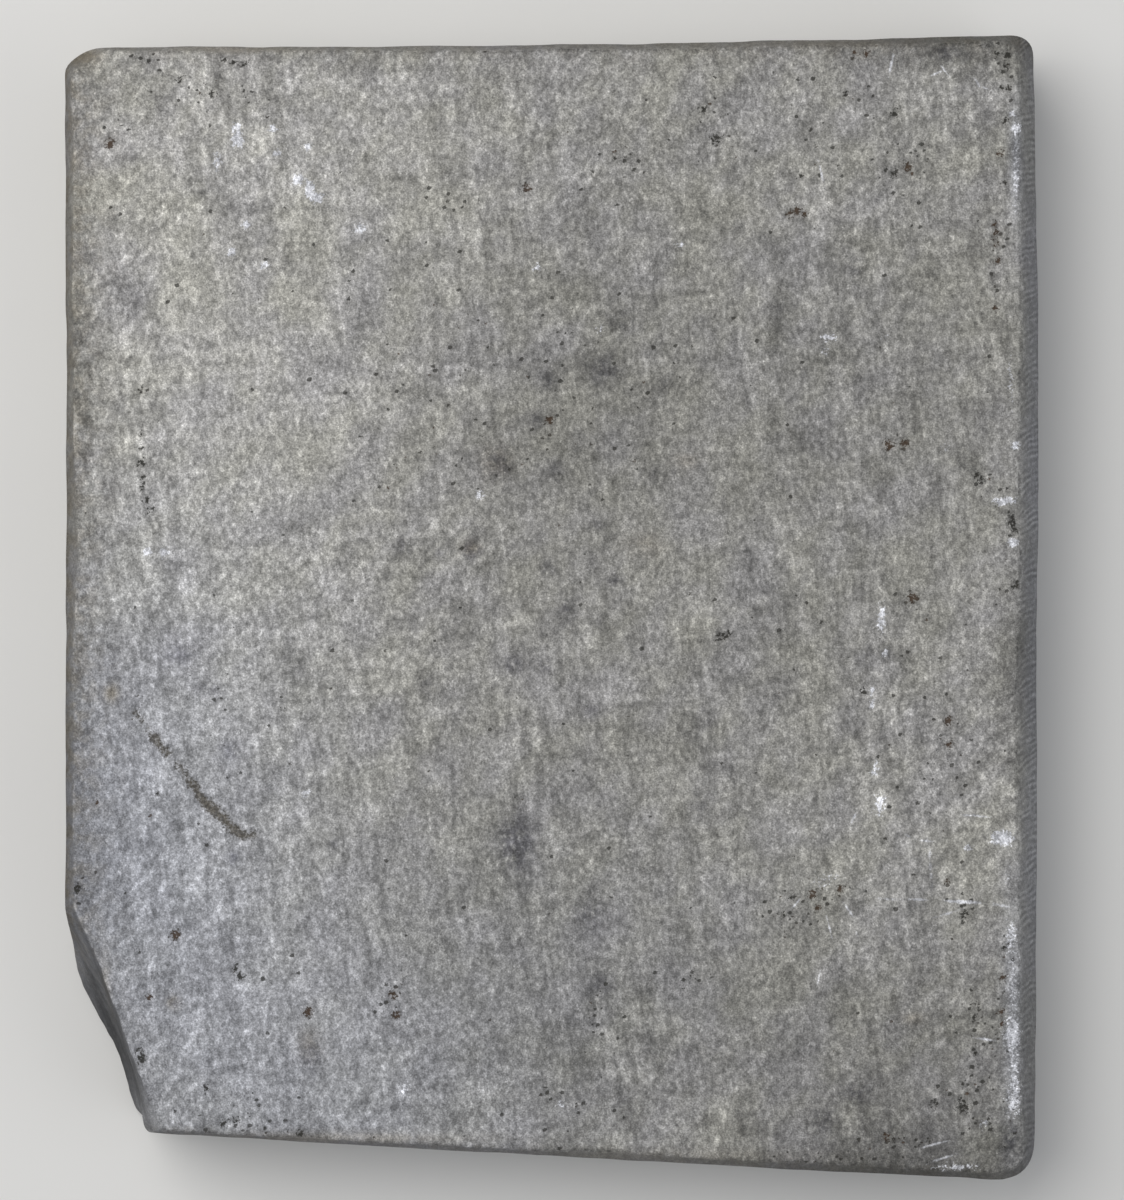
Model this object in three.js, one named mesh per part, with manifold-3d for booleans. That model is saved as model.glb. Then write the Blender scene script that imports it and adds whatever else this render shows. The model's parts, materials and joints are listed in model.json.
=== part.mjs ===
// A small panel of dressed grey stone, one solid piece, lying flat with its plain worked face up.
// Its two long edges are bevelled, its top and bottom edges are only softened, one corner is broken
// away in a shell-shaped scar, and a gouge runs across the face near that corner.
//
// Millimetres, +Z up. The origin is the middle of the bounding rectangle, on the underside.
// Plan sizes are given as a mason would lay them out: x from the left side, y from the lower one.

import * as THREE from "three";
import { mergeVertices } from "three/addons/utils/BufferGeometryUtils.js";
import Module from "manifold-3d";

// Overall size.
const width = 122.4;
const height = 143.4;
const thickness = 18;

// Depths below the face at which the bevels end and the walls begin.
const rightBevel = 3;
const leftBevel = 2.2;
const wornBevel = 1.5; // the left edge again, lower down
const softening = 1.3; // the top and bottom edges

const undercut = 0.5; // how far the walls lean in between there and the foot
const footArris = 0.8; // wear along the lower edge, all round
const scarLip = 2.4; // the steep band along the top of the broken corner
const scarLean = 0.22; // the share of the break's spread that lies within that band
const scarHollow = 1.1; // how far the broken corner is dished below it

const gougeDepth = 0.55;
const gougeWidth = 1.3;
const stone = { color: 0x8c8b89, roughness: 0.9, metalness: 0 };

// A shallow arc from one plan point to another. It swells to the right of the way it runs, which is
// outwards when the panel is followed counter-clockwise, and a negative bow makes it sag.
const arc = (from, to, bow = 0) => (t) => {
  const [dx, dy] = [to[0] - from[0], to[1] - from[1]];
  const swell = (4 * t * (1 - t) * bow) / Math.hypot(dx, dy);
  return [from[0] + dx * t + dy * swell, from[1] + dy * t - dx * swell];
};

const mix = (a, b, t) => a + (b - a) * t;
const between = (a, b, t) => [mix(a[0], b[0], t), mix(a[1], b[1], t)];

// The panel's edges and corners, counter-clockwise from the top left. "face" is where the flat face
// ends, "waist" is where the panel is widest, and "bevel" is the depth of the waist at either end.
const leftEdge = {
  waist: arc([0.1, 137.8], [0.1, 33.5], -0.35),
  face: arc([1.4, 137.4], [1.6, 34.5], -0.6),
  bevel: [leftBevel, wornBevel],
  steps: 7,
};

const bottomEdge = {
  waist: arc([12.6, 5.6], [117.8, 0], 0.25),
  face: arc([13.2, 6.2], [116.9, 1]),
  bevel: [softening, softening],
  steps: 6,
};

const lowerRightCorner = {
  waist: arc([117.8, 0], [121.8, 4.3], 0.5),
  face: arc([116.9, 1], [120, 5], 0.3),
  bevel: [softening, rightBevel],
  steps: 3,
};

const rightEdgeBelow = {
  waist: arc([121.8, 4.3], [122, 66], 0.2),
  face: arc([120, 5], [119.6, 66], -0.3),
  bevel: [rightBevel, rightBevel],
  steps: 4,
};

const rightEdgeAbove = {
  waist: arc([122, 66], [121.7, 139.3], 0.542),
  face: arc([119.6, 66], [119.5, 138.8], 0.3),
  bevel: [rightBevel, rightBevel],
  steps: 5,
};

const upperRightCorner = {
  waist: arc([121.7, 139.3], [118.2, 143.4], 1.5),
  face: arc([119.5, 138.8], [117.2, 142.4], 0.9),
  bevel: [rightBevel, softening],
  steps: 4,
};

const topEdge = {
  waist: arc([118.2, 143.4], [5.4, 142], -0.55),
  face: arc([117.2, 142.4], [5.8, 141.1], -0.45),
  bevel: [softening, softening],
  steps: 6,
};

const upperLeftChip = {
  waist: arc([5.4, 142], [0.1, 137.8], 1.2),
  face: arc([5.8, 141.1], [1.4, 137.4], 0.5),
  bevel: [softening, leftBevel],
  steps: 4,
};

// Along the break the stone slopes outwards all the way down to its foot.
const brokenCorner = {
  lip: [
    [1.6, 34.5],
    [4, 28.2],
    [7.9, 17.2],
    [10, 9.8],
    [13.2, 6.2],
  ],
  foot: [
    [0.3, 31.4],
    [0.2, 25.6],
    [4.5, 17.4],
    [7.2, 9.2],
    [9.4, 4.6],
  ],
  steps: 12,
};

function plainStations({ waist, face, bevel, steps }) {
  return Array.from({ length: steps }, (_, i) => {
    const t = i / steps;
    return {
      face: face(t),
      waist: waist(t),
      foot: pulledIn(waist(t), undercut),
      bevel: mix(bevel[0], bevel[1], t),
      hollow: 0,
    };
  });
}

function brokenStations({ lip, foot, steps }) {
  const curve = (points) =>
    new THREE.CatmullRomCurve3(points.map(([x, y]) => new THREE.Vector3(x, y, 0)), false, "centripetal");
  const [lipCurve, footCurve] = [curve(lip), curve(foot)];
  return Array.from({ length: steps }, (_, i) => {
    const t = i / steps;
    const [face, low] = [lipCurve.getPoint(t), footCurve.getPoint(t)].map(({ x, y }) => [x, y]);
    const depth = Math.sqrt(Math.sin(Math.PI * t)); // the break dies out at either end
    return {
      face,
      waist: between(face, low, mix(1, scarLean, depth)),
      foot: low,
      bevel: mix(wornBevel, scarLip, depth),
      hollow: scarHollow * depth ** 2,
    };
  });
}

const centre = [width / 2, height / 2];

function pulledIn([x, y], distance) {
  return between([x, y], centre, distance / Math.hypot(centre[0] - x, centre[1] - y));
}

const outline = [
  ...plainStations(leftEdge),
  ...brokenStations(brokenCorner),
  ...[bottomEdge, lowerRightCorner, rightEdgeBelow, rightEdgeAbove].flatMap(plainStations),
  ...[upperRightCorner, topEdge, upperLeftChip].flatMap(plainStations),
];

function ring(planOf, heightOf) {
  return outline.map((station) => {
    const [x, y] = planOf(station);
    return new THREE.Vector3(x - centre[0], y - centre[1], heightOf(station));
  });
}

// The wall from the worn lower edge up to the waist, dished where the corner is broken.
function wallRing(share) {
  const planOf = ({ foot, waist, hollow }) =>
    pulledIn(between(foot, waist, share), hollow * Math.sin(Math.PI * share));
  return ring(planOf, ({ bevel }) => mix(footArris, thickness - bevel, share));
}

// The bevel from the waist up to the face, rounded at both ends.
function bevelRing(inwards, upwards) {
  const planOf = ({ waist, face }) => between(waist, face, inwards);
  return ring(planOf, ({ bevel }) => thickness - bevel * (1 - upwards));
}

function rings() {
  const underside = ring(({ foot }) => pulledIn(foot, footArris), () => 0);
  const wall = [0, 0.25, 0.5, 0.75, 1].map(wallRing);
  const bevel = [bevelRing(0.4, 0.5), bevelRing(0.8, 0.9), bevelRing(1, 1)];
  return [underside, ...wall, ...bevel];
}

// Closes a stack of rings into one body: a band between each two, and a flat cap at each end.
function bodyOf(stack) {
  const count = outline.length;
  const index = [];
  for (let level = 1; level < stack.length; level++) {
    for (let i = 0; i < count; i++) {
      const [low, high] = [(level - 1) * count, level * count];
      const next = (i + 1) % count;
      index.push(low + i, low + next, high + next);
      index.push(low + i, high + next, high + i);
    }
  }
  const [underside, face] = [stack[0], stack[stack.length - 1]];
  const top = (stack.length - 1) * count;
  for (const [a, b, c] of THREE.ShapeUtils.triangulateShape(underside, [])) index.push(a, c, b);
  for (const corners of THREE.ShapeUtils.triangulateShape(face, [])) {
    index.push(...corners.map((corner) => top + corner));
  }
  return new THREE.BufferGeometry().setFromPoints(stack.flat()).setIndex(index);
}

// A blunt V, standing proud of the face and reaching down to the gouge's floor.
function gougeCutter(from, to, across, depth) {
  const proud = 1;
  const half = across / 2;
  const flare = half * (1 + proud / depth);
  const section = new THREE.Shape([
    new THREE.Vector2(-flare, proud),
    new THREE.Vector2(-half * 0.4, -depth),
    new THREE.Vector2(half * 0.4, -depth),
    new THREE.Vector2(flare, proud),
  ]);
  const [dx, dy] = [to[0] - from[0], to[1] - from[1]];
  return new THREE.ExtrudeGeometry(section, { depth: Math.hypot(dx, dy), bevelEnabled: false })
    .rotateX(Math.PI / 2)
    .rotateZ(Math.atan2(dy, dx) + Math.PI / 2)
    .translate(from[0] - centre[0], from[1] - centre[1], thickness);
}

// The tool slipped twice on one line, the second time deeper and longer.
const gouges = [
  gougeCutter([9.9, 58], [13.3, 52.8], gougeWidth * 0.8, gougeDepth * 0.7),
  gougeCutter([14.5, 52.2], [23.2, 43.3], gougeWidth, gougeDepth),
];

const wasm = await Module();
wasm.setup();

function solidOf(geometry) {
  const bare = geometry.clone();
  bare.deleteAttribute("normal");
  bare.deleteAttribute("uv");
  const merged = mergeVertices(bare, 1e-4);
  return new wasm.Manifold(
    new wasm.Mesh({
      numProp: 3,
      vertProperties: new Float32Array(merged.attributes.position.array),
      triVerts: new Uint32Array(merged.index.array),
    }),
  );
}

function geometryOf(solid) {
  const mesh = solid.getMesh();
  const geometry = new THREE.BufferGeometry()
    .setAttribute("position", new THREE.BufferAttribute(mesh.vertProperties, 3))
    .setIndex(new THREE.BufferAttribute(mesh.triVerts, 1));
  geometry.computeVertexNormals();
  return geometry;
}

function stonePanel() {
  let solid = solidOf(bodyOf(rings()));
  for (const gouge of gouges) solid = solid.subtract(solidOf(gouge));
  const mesh = new THREE.Mesh(geometryOf(solid), new THREE.MeshStandardMaterial(stone));
  mesh.name = "stone_panel";
  return mesh;
}

const part = new THREE.Group();
part.add(stonePanel());

export default part;
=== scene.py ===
"""A small panel of dressed grey stone, lying flat on a pale table with its worked face up.

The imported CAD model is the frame. It gives the panel's length, breadth and thickness, and this file
adds the surface that a mason and the years have left on it. Plan sizes are in millimetres, taken with
a rule from the panel's left and lower sides, as they are in the CAD source.
"""

import json
import math
from functools import reduce

import bpy
import numpy as np
from bpy.props import FloatProperty, FloatVectorProperty, PointerProperty
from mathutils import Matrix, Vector

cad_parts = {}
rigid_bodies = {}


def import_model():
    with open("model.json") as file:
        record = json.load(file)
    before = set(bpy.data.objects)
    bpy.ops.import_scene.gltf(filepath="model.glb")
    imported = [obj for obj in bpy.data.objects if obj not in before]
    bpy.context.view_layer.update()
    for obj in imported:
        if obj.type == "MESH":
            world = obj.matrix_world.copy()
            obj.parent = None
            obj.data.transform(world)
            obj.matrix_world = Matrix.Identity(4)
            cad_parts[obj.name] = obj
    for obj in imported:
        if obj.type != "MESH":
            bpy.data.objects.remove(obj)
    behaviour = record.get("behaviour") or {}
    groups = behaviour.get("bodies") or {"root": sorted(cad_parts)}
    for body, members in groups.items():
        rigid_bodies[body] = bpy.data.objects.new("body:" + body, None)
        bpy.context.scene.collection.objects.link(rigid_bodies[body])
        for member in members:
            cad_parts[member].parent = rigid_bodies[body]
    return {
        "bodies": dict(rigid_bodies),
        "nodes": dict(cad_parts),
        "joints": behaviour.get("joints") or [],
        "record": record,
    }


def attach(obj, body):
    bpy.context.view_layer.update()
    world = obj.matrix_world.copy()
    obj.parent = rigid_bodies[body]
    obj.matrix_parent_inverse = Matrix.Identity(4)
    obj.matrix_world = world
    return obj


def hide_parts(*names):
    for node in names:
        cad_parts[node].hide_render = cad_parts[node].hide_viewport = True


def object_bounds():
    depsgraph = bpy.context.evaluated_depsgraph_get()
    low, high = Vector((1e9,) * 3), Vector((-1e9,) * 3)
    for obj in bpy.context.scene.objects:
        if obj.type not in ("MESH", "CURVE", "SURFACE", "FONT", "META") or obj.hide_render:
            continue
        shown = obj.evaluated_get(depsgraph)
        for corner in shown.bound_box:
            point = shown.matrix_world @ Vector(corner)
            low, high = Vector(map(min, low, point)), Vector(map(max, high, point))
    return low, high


bl_info = {
    "name": "Dressed stone panel",
    "version": (1, 0, 0),
    "blender": (4, 5, 0),
    "location": "View3D > Sidebar > Stone",
    "description": "Builds a small dressed stone panel with a broken corner, and a table to show it on",
    "category": "Add Mesh",
}

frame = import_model()
cad_low, cad_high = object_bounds()

MM = 0.001
PANEL_LOW = np.array(cad_low) / MM
PANEL_HIGH = np.array(cad_high) / MM
WIDTH, HEIGHT, THICKNESS = PANEL_HIGH - PANEL_LOW

# How finely the panel is meshed. The counts of cells divide by four, because the underside is coarser.
CELLS_ACROSS = 232
CELLS_UP = 272
CELL = 0.51  # about how wide a cell of the face is
EDGE_STEPS = 600  # points worked out along each edge, before the stations are picked from them
BEVEL_RINGS = (0.08, 0.2, 0.36, 0.54, 0.72, 0.88, 1.0)  # shares of the way out over the bevel
BEVEL_ROUNDING = 1.2  # 1 would leave the bevel flat, and more rounds its upper edge
WALL_RINGS = 13
FOOT_TURNS = (25, 50, 72, 90)  # degrees round the worn foot
UNDERSIDE_INSET = 1.6  # from the last ring to the underside's grid
COARSER = 4  # the underside's cells are this many times as long as the face's
PIT_FLOOR = 0.9  # a pit is flat below this share of its depth
RIM_FALL, RIM_REACH = 0.06, 0.5  # how far the face dips at its edge, and within what distance
SIDE_SETBACK = 0.03  # how far the sides stand in, which leaves room for their relief
BEVEL_TOP, BEVEL_BREADTH = 0.25, 3.4  # how far from the rim a bevel's rings are counted
RIM_BAND_REACH = 0.3  # how far the dark line and the painted highlight along the rim reach

SEED = 7
LATTICE = 256  # how many random heights a lattice of hills has each way before it repeats
FAR = 1e6  # so far, or so great a stretch, that it no longer counts

# ------------------------------------------------------------------------------------------------
# The panel's outline. Each edge has a waist, where the panel is widest, and the line where its face
# ends: (from, to, bow). They run counter-clockwise, and a positive bow swells outwards. Bevel names
# the depth of the waist at either end.

EDGES = {
    "bottom": {
        "waist": ((11, 5.9), (117.6, 0), 0.2), "face": ((13, 6.3), (117.4, 1), 0.05),
        "bevel": ("softening", "softening"),
    },
    "lower_right": {
        "waist": ((117.6, 0), (121.8, 4.1), 1.2), "face": ((117.4, 1), (120.1, 4.2), 0.9),
        "bevel": ("softening", "right_bevel"),
    },
    "right_below": {
        "waist": ((121.8, 4.1), (122.1, 66), 0.2), "face": ((120.1, 4.2), (119.6, 66), -0.35),
        "bevel": ("right_bevel", "right_bevel"),
    },
    "right_above": {
        "waist": ((122.1, 66), (121.7, 140.4), 0.5), "face": ((119.6, 66), (119.5, 139.6), 0.35),
        "bevel": ("right_bevel", "right_bevel"),
    },
    "upper_right": {
        "waist": ((121.7, 140.4), (119.3, 143.4), 0.9), "face": ((119.5, 139.6), (117.6, 142.4), 0.6),
        "bevel": ("right_bevel", "softening"),
    },
    "top": {
        "waist": ((119.3, 143.4), (5.2, 141.9), -0.5), "face": ((117.6, 142.4), (5.2, 141.3), -0.5),
        "bevel": ("softening", "softening"),
    },
    "upper_left": {
        "waist": ((5.2, 141.9), (0.2, 139.3), 0.85), "face": ((5.2, 141.2), (1.3, 138.5), -0.05),
        "bevel": ("softening", "left_bevel"),
    },
    "left": {
        "waist": ((0.2, 139.3), (0.2, 33.5), -0.2), "face": ((1.3, 138.5), (1.3, 34.8), -0.4),
        "bevel": ("left_bevel", "worn_bevel"),
    },
}

# The break slopes outwards from the lip, on the face, to the foot, near the underside.
BREAK_LIP = (
    (1.3, 34.8), (3.1, 31.3), (4.7, 27.7), (6, 23.9), (7.4, 20), (8.7, 16.1), (10.1, 12.5), (11.4, 9.2),
    (13, 6.3),
)
BREAK_FOOT = (
    (0.1, 25.4), (1.2, 22.6), (2.8, 19.8), (4.3, 17), (5.5, 14.2), (6.4, 11.4), (7.1, 8.9), (8, 6.9),
    (9.9, 5.5),
)
BREAK_START = 0.88  # how far down the left edge the foot begins to swing out to the break
BREAK_END = 0.08  # how far along the lower edge it is back in line
LOW_LEAN = 0.6  # how much more of the spread the lip takes at the lower end of the break

BLOW = np.array((-4.0, 36.0, 16.0))  # where the blow fell that broke the corner
RIPPLE_HEIGHT, RIPPLE_LENGTH, RIPPLE_REACH = 0.07, 1.7, 24.0  # of the ripples that spread from there

# Where the face's edge is worn further in or stands further out: edge, place along it, reach, shift.
WORN_EDGES = (
    ("left", 0.58, 0.06, -0.5), ("left", 0.72, 0.05, 0.25), ("left", 0.3, 0.1, 0.15),
    ("right_above", 0.24, 0.03, -0.7), ("right_above", 0.4, 0.08, -0.25),
    ("right_below", 0.62, 0.06, 0.25), ("lower_right", 0.5, 0.3, 0.3), ("top", 0.86, 0.015, -0.5),
    ("top", 0.955, 0.012, -0.4), ("bottom", 0.55, 0.02, -0.2),
)

# How each line of the outline wanders: hills of (height, reach, seed), added together.
WANDER = {
    "face": ((0.12, 9, 1), (0.07, 2.6, 2), (0.05, 1.2, 3)),
    "waist": ((0.08, 9, 4), (0.05, 3.1, 5)),
    "foot": ((0.25, 16, 6), (0.1, 4, 7)),
}
FOOT_SWELL = 0.1  # the foot wanders outwards no further than this

# Chips out of the edges: centre (x, y, height), reach (x, y, height), and push (x, y, height).
CHIPS = (
    ((21.8, 140.6, 18), (2.2, 0.7, 0.9), (0, -0.1, -0.45)),
    ((11.2, 140.4, 18), (1.3, 0.6, 0.8), (0, -0.1, -0.35)),
    ((3, 140.6, 17), (2.6, 1.6, 1.6), (0.25, -0.25, -0.5)),
    ((119.5, 83.1, 18), (0.8, 1.9, 1.2), (-0.25, 0, -0.5)),
    ((119.6, 91.5, 18), (0.6, 0.9, 1), (-0.1, 0, -0.35)),
    ((119.7, 61.5, 18), (0.6, 2.4, 1), (-0.15, 0, -0.35)),
    ((119.7, 129.5, 18), (0.6, 1, 1), (-0.1, 0, -0.3)),
    ((119.6, 4.6, 18), (1.4, 2.2, 0.9), (0, 0, -0.4)),
    ((118.4, 0.9, 17), (0.8, 0.8, 1.2), (0, 0.15, -0.3)),
    ((119.2, 18, 18), (0.8, 3, 1), (-0.1, 0, -0.25)),
    ((100, 142.3, 18), (1.4, 0.6, 0.8), (0, -0.1, -0.3)),
    ((48, 3.6, 18), (2, 0.6, 0.8), (0, 0.1, -0.2)), ((84, 2, 18), (1.6, 0.6, 0.8), (0, 0.1, -0.25)),
)

# The hills on the face, on the underside and on the sides, as the outline's are given.
FACE_WAVES = ((0.08, 38, 11), (0.05, 15, 12), (0.025, 6, 13))
UNDERSIDE_WAVES = ((0.09, 9, 41), (0.05, 3.5, 42))
SIDE_PECKS = ((0.04, (2.4, 2.0), 32), (0.024, (1.1, 1.0), 33))
SIDE_SCALLOPS = ((0.22, (11, 8), 34), (0.10, (4.0, 3.0), 35), (0.05, (1.6, 1.3), 36))

# Pits in the face, by what has settled in them: (x, y, radius).
PITS = {
    "brown": (
        (5.9, 129.7, 0.55), (58.3, 124.2, 0.45), (91, 120.8, 0.3), (91.9, 121.3, 0.4),
        (92.9, 120.9, 0.3), (117, 115, 0.35), (116.7, 119.5, 0.35), (116.7, 118.3, 0.3),
        (116.8, 117.1, 0.35), (116.7, 109.1, 0.3), (105.4, 92.2, 0.4), (103.3, 92, 0.5),
        (106.4, 72.9, 0.5), (30.8, 21.1, 0.5), (93.8, 35.9, 0.45), (110.8, 57.6, 0.4),
        (110.9, 54.5, 0.4), (97.3, 36.4, 0.4), (14.2, 30.7, 0.5), (41.4, 23.2, 0.4), (41.9, 20.7, 0.4),
        (117.4, 21.1, 0.4), (117.6, 19.6, 0.35), (4.4, 47.2, 0.3), (61, 95.1, 0.4),
        (105.8, 126.7, 0.45), (94.6, 34.1, 0.4), (117.7, 25.5, 0.35), (117.3, 128.5, 0.35),
        (103.1, 5.5, 0.35), (110.7, 37.5, 0.3), (99.2, 141, 0.35), (100.6, 140.9, 0.35),
        (10.9, 22.9, 0.35),
    ),
    "black": (
        (81.8, 130.4, 0.45), (82.4, 68, 0.35), (83.2, 68.2, 0.35), (9.8, 16.2, 0.38), (9.9, 15.1, 0.38),
        (21.6, 26.4, 0.28), (22.3, 25.6, 0.42), (112.6, 9.2, 0.55), (2, 36.4, 0.42), (27.6, 59.1, 0.3),
        (12, 48.4, 0.25), (113, 33.1, 0.4), (20.3, 140.2, 0.32), (21.5, 139.8, 0.28),
        (22.8, 139.8, 0.35), (118.3, 140.8, 0.38), (118.1, 139.3, 0.32), (119.3, 82.6, 0.55),
        (119.2, 81.4, 0.35), (20.1, 7, 0.36), (21.7, 7.6, 0.3), (29.8, 6.1, 0.36), (80.1, 134, 0.35),
        (14.7, 137.6, 0.3), (18.9, 136, 0.38), (104.1, 5, 0.35), (117.9, 29, 0.3), (90.2, 33.2, 0.25),
        (91.2, 35.4, 0.25), (104.1, 133.4, 0.4), (104.1, 125.9, 0.32), (117.1, 140.8, 0.28),
        (118.5, 136.6, 0.32), (117.3, 136.7, 0.28), (118, 132.6, 0.3), (118, 124.7, 0.28),
        (114.3, 22.1, 0.3), (114.3, 20.4, 0.28), (114.2, 15.8, 0.28), (107, 4.3, 0.3),
        (108.5, 5.1, 0.3), (98, 135.9, 0.3), (109, 9.4, 0.38), (119.2, 74.5, 0.35), (115.2, 87.4, 0.38),
        (114.5, 88.2, 0.3), (92.3, 125.7, 0.35), (100.2, 61.1, 0.38), (17.9, 11.4, 0.3),
        (9.9, 99, 0.28), (9.9, 93.3, 0.28), (10, 91.6, 0.3), (9.9, 89.8, 0.34), (10.1, 88, 0.28),
        (10.1, 86.6, 0.34), (10.6, 85.2, 0.34), (11, 83.8, 0.32),
    ),
}

# Where the face is peppered with tiny dark holes: (x, y, reach x, reach y, share of them filled).
PEPPERED = (
    (48.5, 122.4, 3, 1.5, 0.9), (69.5, 127, 5, 2.6, 0.6), (81.5, 132, 2, 3.5, 0.8),
    (95, 126.5, 2.6, 7.5, 0.5), (105.5, 127, 4, 3.5, 0.7), (10, 97.5, 0.7, 2.8, 0.9),
    (116.9, 115.8, 1.2, 4.6, 0.8), (116.3, 88, 1.8, 3, 0.6), (111, 53, 2.2, 7.5, 0.6),
    (112.5, 34.5, 1.8, 2.4, 0.9), (90.6, 33.4, 1.9, 2.4, 1), (95.5, 35, 3, 2, 0.6),
    (78.5, 25.3, 5, 0.8, 0.9), (62.5, 9.8, 6, 1.8, 0.6), (41.2, 22.3, 1.8, 2.4, 0.9),
    (20, 135.2, 5, 1.6, 0.9), (15, 137.4, 3.5, 0.8, 0.7), (10.6, 140, 2, 0.6, 0.9),
    (7, 132.6, 2, 0.8, 0.8), (21.8, 139.9, 2.2, 0.7, 0.9), (22, 7.6, 4.5, 1.6, 0.9),
    (29.5, 6.3, 1.6, 0.8, 0.9), (25, 10, 3, 1.2, 0.5), (66.8, 21.5, 1.4, 4, 0.6),
    (104.2, 92.1, 1.6, 1.1, 0.9), (105, 4.8, 3.6, 1.2, 1), (114, 12, 3.4, 6, 0.6),
    (114.3, 20, 1.1, 3.2, 0.9), (117.6, 21.5, 0.8, 4.5, 0.8), (118.2, 28.8, 0.6, 2.2, 0.8),
    (97, 2.6, 6, 0.9, 0.8), (117.9, 138, 1.3, 3, 0.9), (99.9, 134, 1.6, 2, 0.8),
    (100, 141, 2.2, 0.7, 0.9), (115.6, 141.9, 2.2, 0.5, 0.8), (103.5, 56, 2, 10, 0.2),
    (42.5, 88, 3, 2, 0.5), (50, 91, 3.5, 2, 0.5), (45, 104, 8, 8, 0.1), (62, 100, 14, 9, 0.14),
    (106.4, 72.4, 1.8, 1.4, 0.7), (118.4, 79.5, 1, 5, 0.7), (2.2, 36.4, 1.4, 1.8, 0.9),
    (9.8, 15.8, 0.8, 1.6, 0.8), (22.2, 25.8, 0.8, 1.2, 0.8), (14.2, 30.7, 0.9, 0.9, 0.9),
    (21, 53.7, 1.8, 1.6, 0.6), (19, 61.3, 1.6, 1.2, 0.6), (9.5, 59.5, 1, 1.6, 0.9),
    (112.6, 9.2, 1.4, 1, 0.9), (60, 60, 70, 80, 0.02),
)

# Whitish bruises where something struck or rubbed the face: (x, y, reach x, reach y, strength).
BRUISES = (
    (22, 130, 0.7, 0.8, 1.9), (21.9, 131.6, 0.5, 0.7, 1.5), (19.4, 127.4, 0.7, 1.3, 0.8),
    (31.9, 122.9, 0.8, 0.6, 1.9), (29.5, 125.2, 0.7, 0.6, 1.6), (31, 124, 0.5, 0.9, 1.6),
    (23.1, 119.6, 0.6, 0.5, 1.5), (26.5, 131.5, 0.55, 0.5, 1.5), (21.3, 116.1, 0.55, 0.5, 1.5),
    (30.8, 129.3, 0.55, 0.5, 1.5), (26.8, 128.4, 0.55, 0.5, 1.35), (37.3, 119, 0.9, 0.8, 0.9),
    (30.5, 48.4, 0.55, 0.5, 1.35), (25.4, 114.5, 0.55, 0.5, 1.2), (59.4, 114.1, 0.55, 0.5, 1.05),
    (67.3, 106.4, 0.6, 0.5, 0.9), (95.9, 105.4, 1, 0.5, 1.2), (95.4, 103.6, 0.55, 0.5, 0.9),
    (52.2, 85.7, 0.8, 0.6, 0.75), (77.3, 117, 0.6, 0.5, 0.75), (12.7, 78.5, 0.55, 0.5, 1.9),
    (10.7, 78.6, 0.5, 0.45, 1.5), (102.5, 70.4, 0.6, 2, 1), (103, 66, 0.5, 0.6, 1.2),
    (101.3, 61.3, 0.36, 0.36, 1.9), (101.3, 59.6, 0.36, 0.36, 1.9), (101.7, 51.3, 0.55, 1.3, 0.8),
    (102.3, 47, 0.8, 1.5, 0.9), (117.6, 42.8, 1.4, 0.9, 1.5), (113.3, 41.6, 0.6, 0.5, 1.05),
    (42.9, 11.6, 0.8, 1.2, 0.75), (62.3, 9.5, 0.8, 0.5, 0.75), (117.9, 85, 1.6, 0.5, 1.35),
    (119, 79.8, 0.7, 0.5, 1.6), (119.2, 91.9, 0.55, 0.5, 1.35), (119, 10, 1, 2.6, 0.75),
    (118.7, 18.4, 1.1, 1.8, 0.9), (118.9, 24, 0.9, 4.5, 0.5), (118.7, 30.6, 0.9, 2.4, 0.65),
    (119.2, 14.5, 0.7, 3.5, 0.55), (115.2, 7.2, 0.6, 0.8, 0.75), (119.3, 131.5, 0.6, 0.5, 1.5),
    (118.8, 133.4, 0.55, 0.5, 0.9), (119.3, 126, 0.55, 5, 0.68), (118.6, 100, 0.55, 4, 0.52),
    (110.5, 91.6, 0.8, 0.5, 0.6), (103, 105.5, 1, 0.5, 0.45), (112, 1.7, 3.4, 0.5, 0.75),
    (95.5, 37.5, 2, 1.2, 0.45), (118.3, 38, 0.7, 1.6, 0.45),
)

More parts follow.
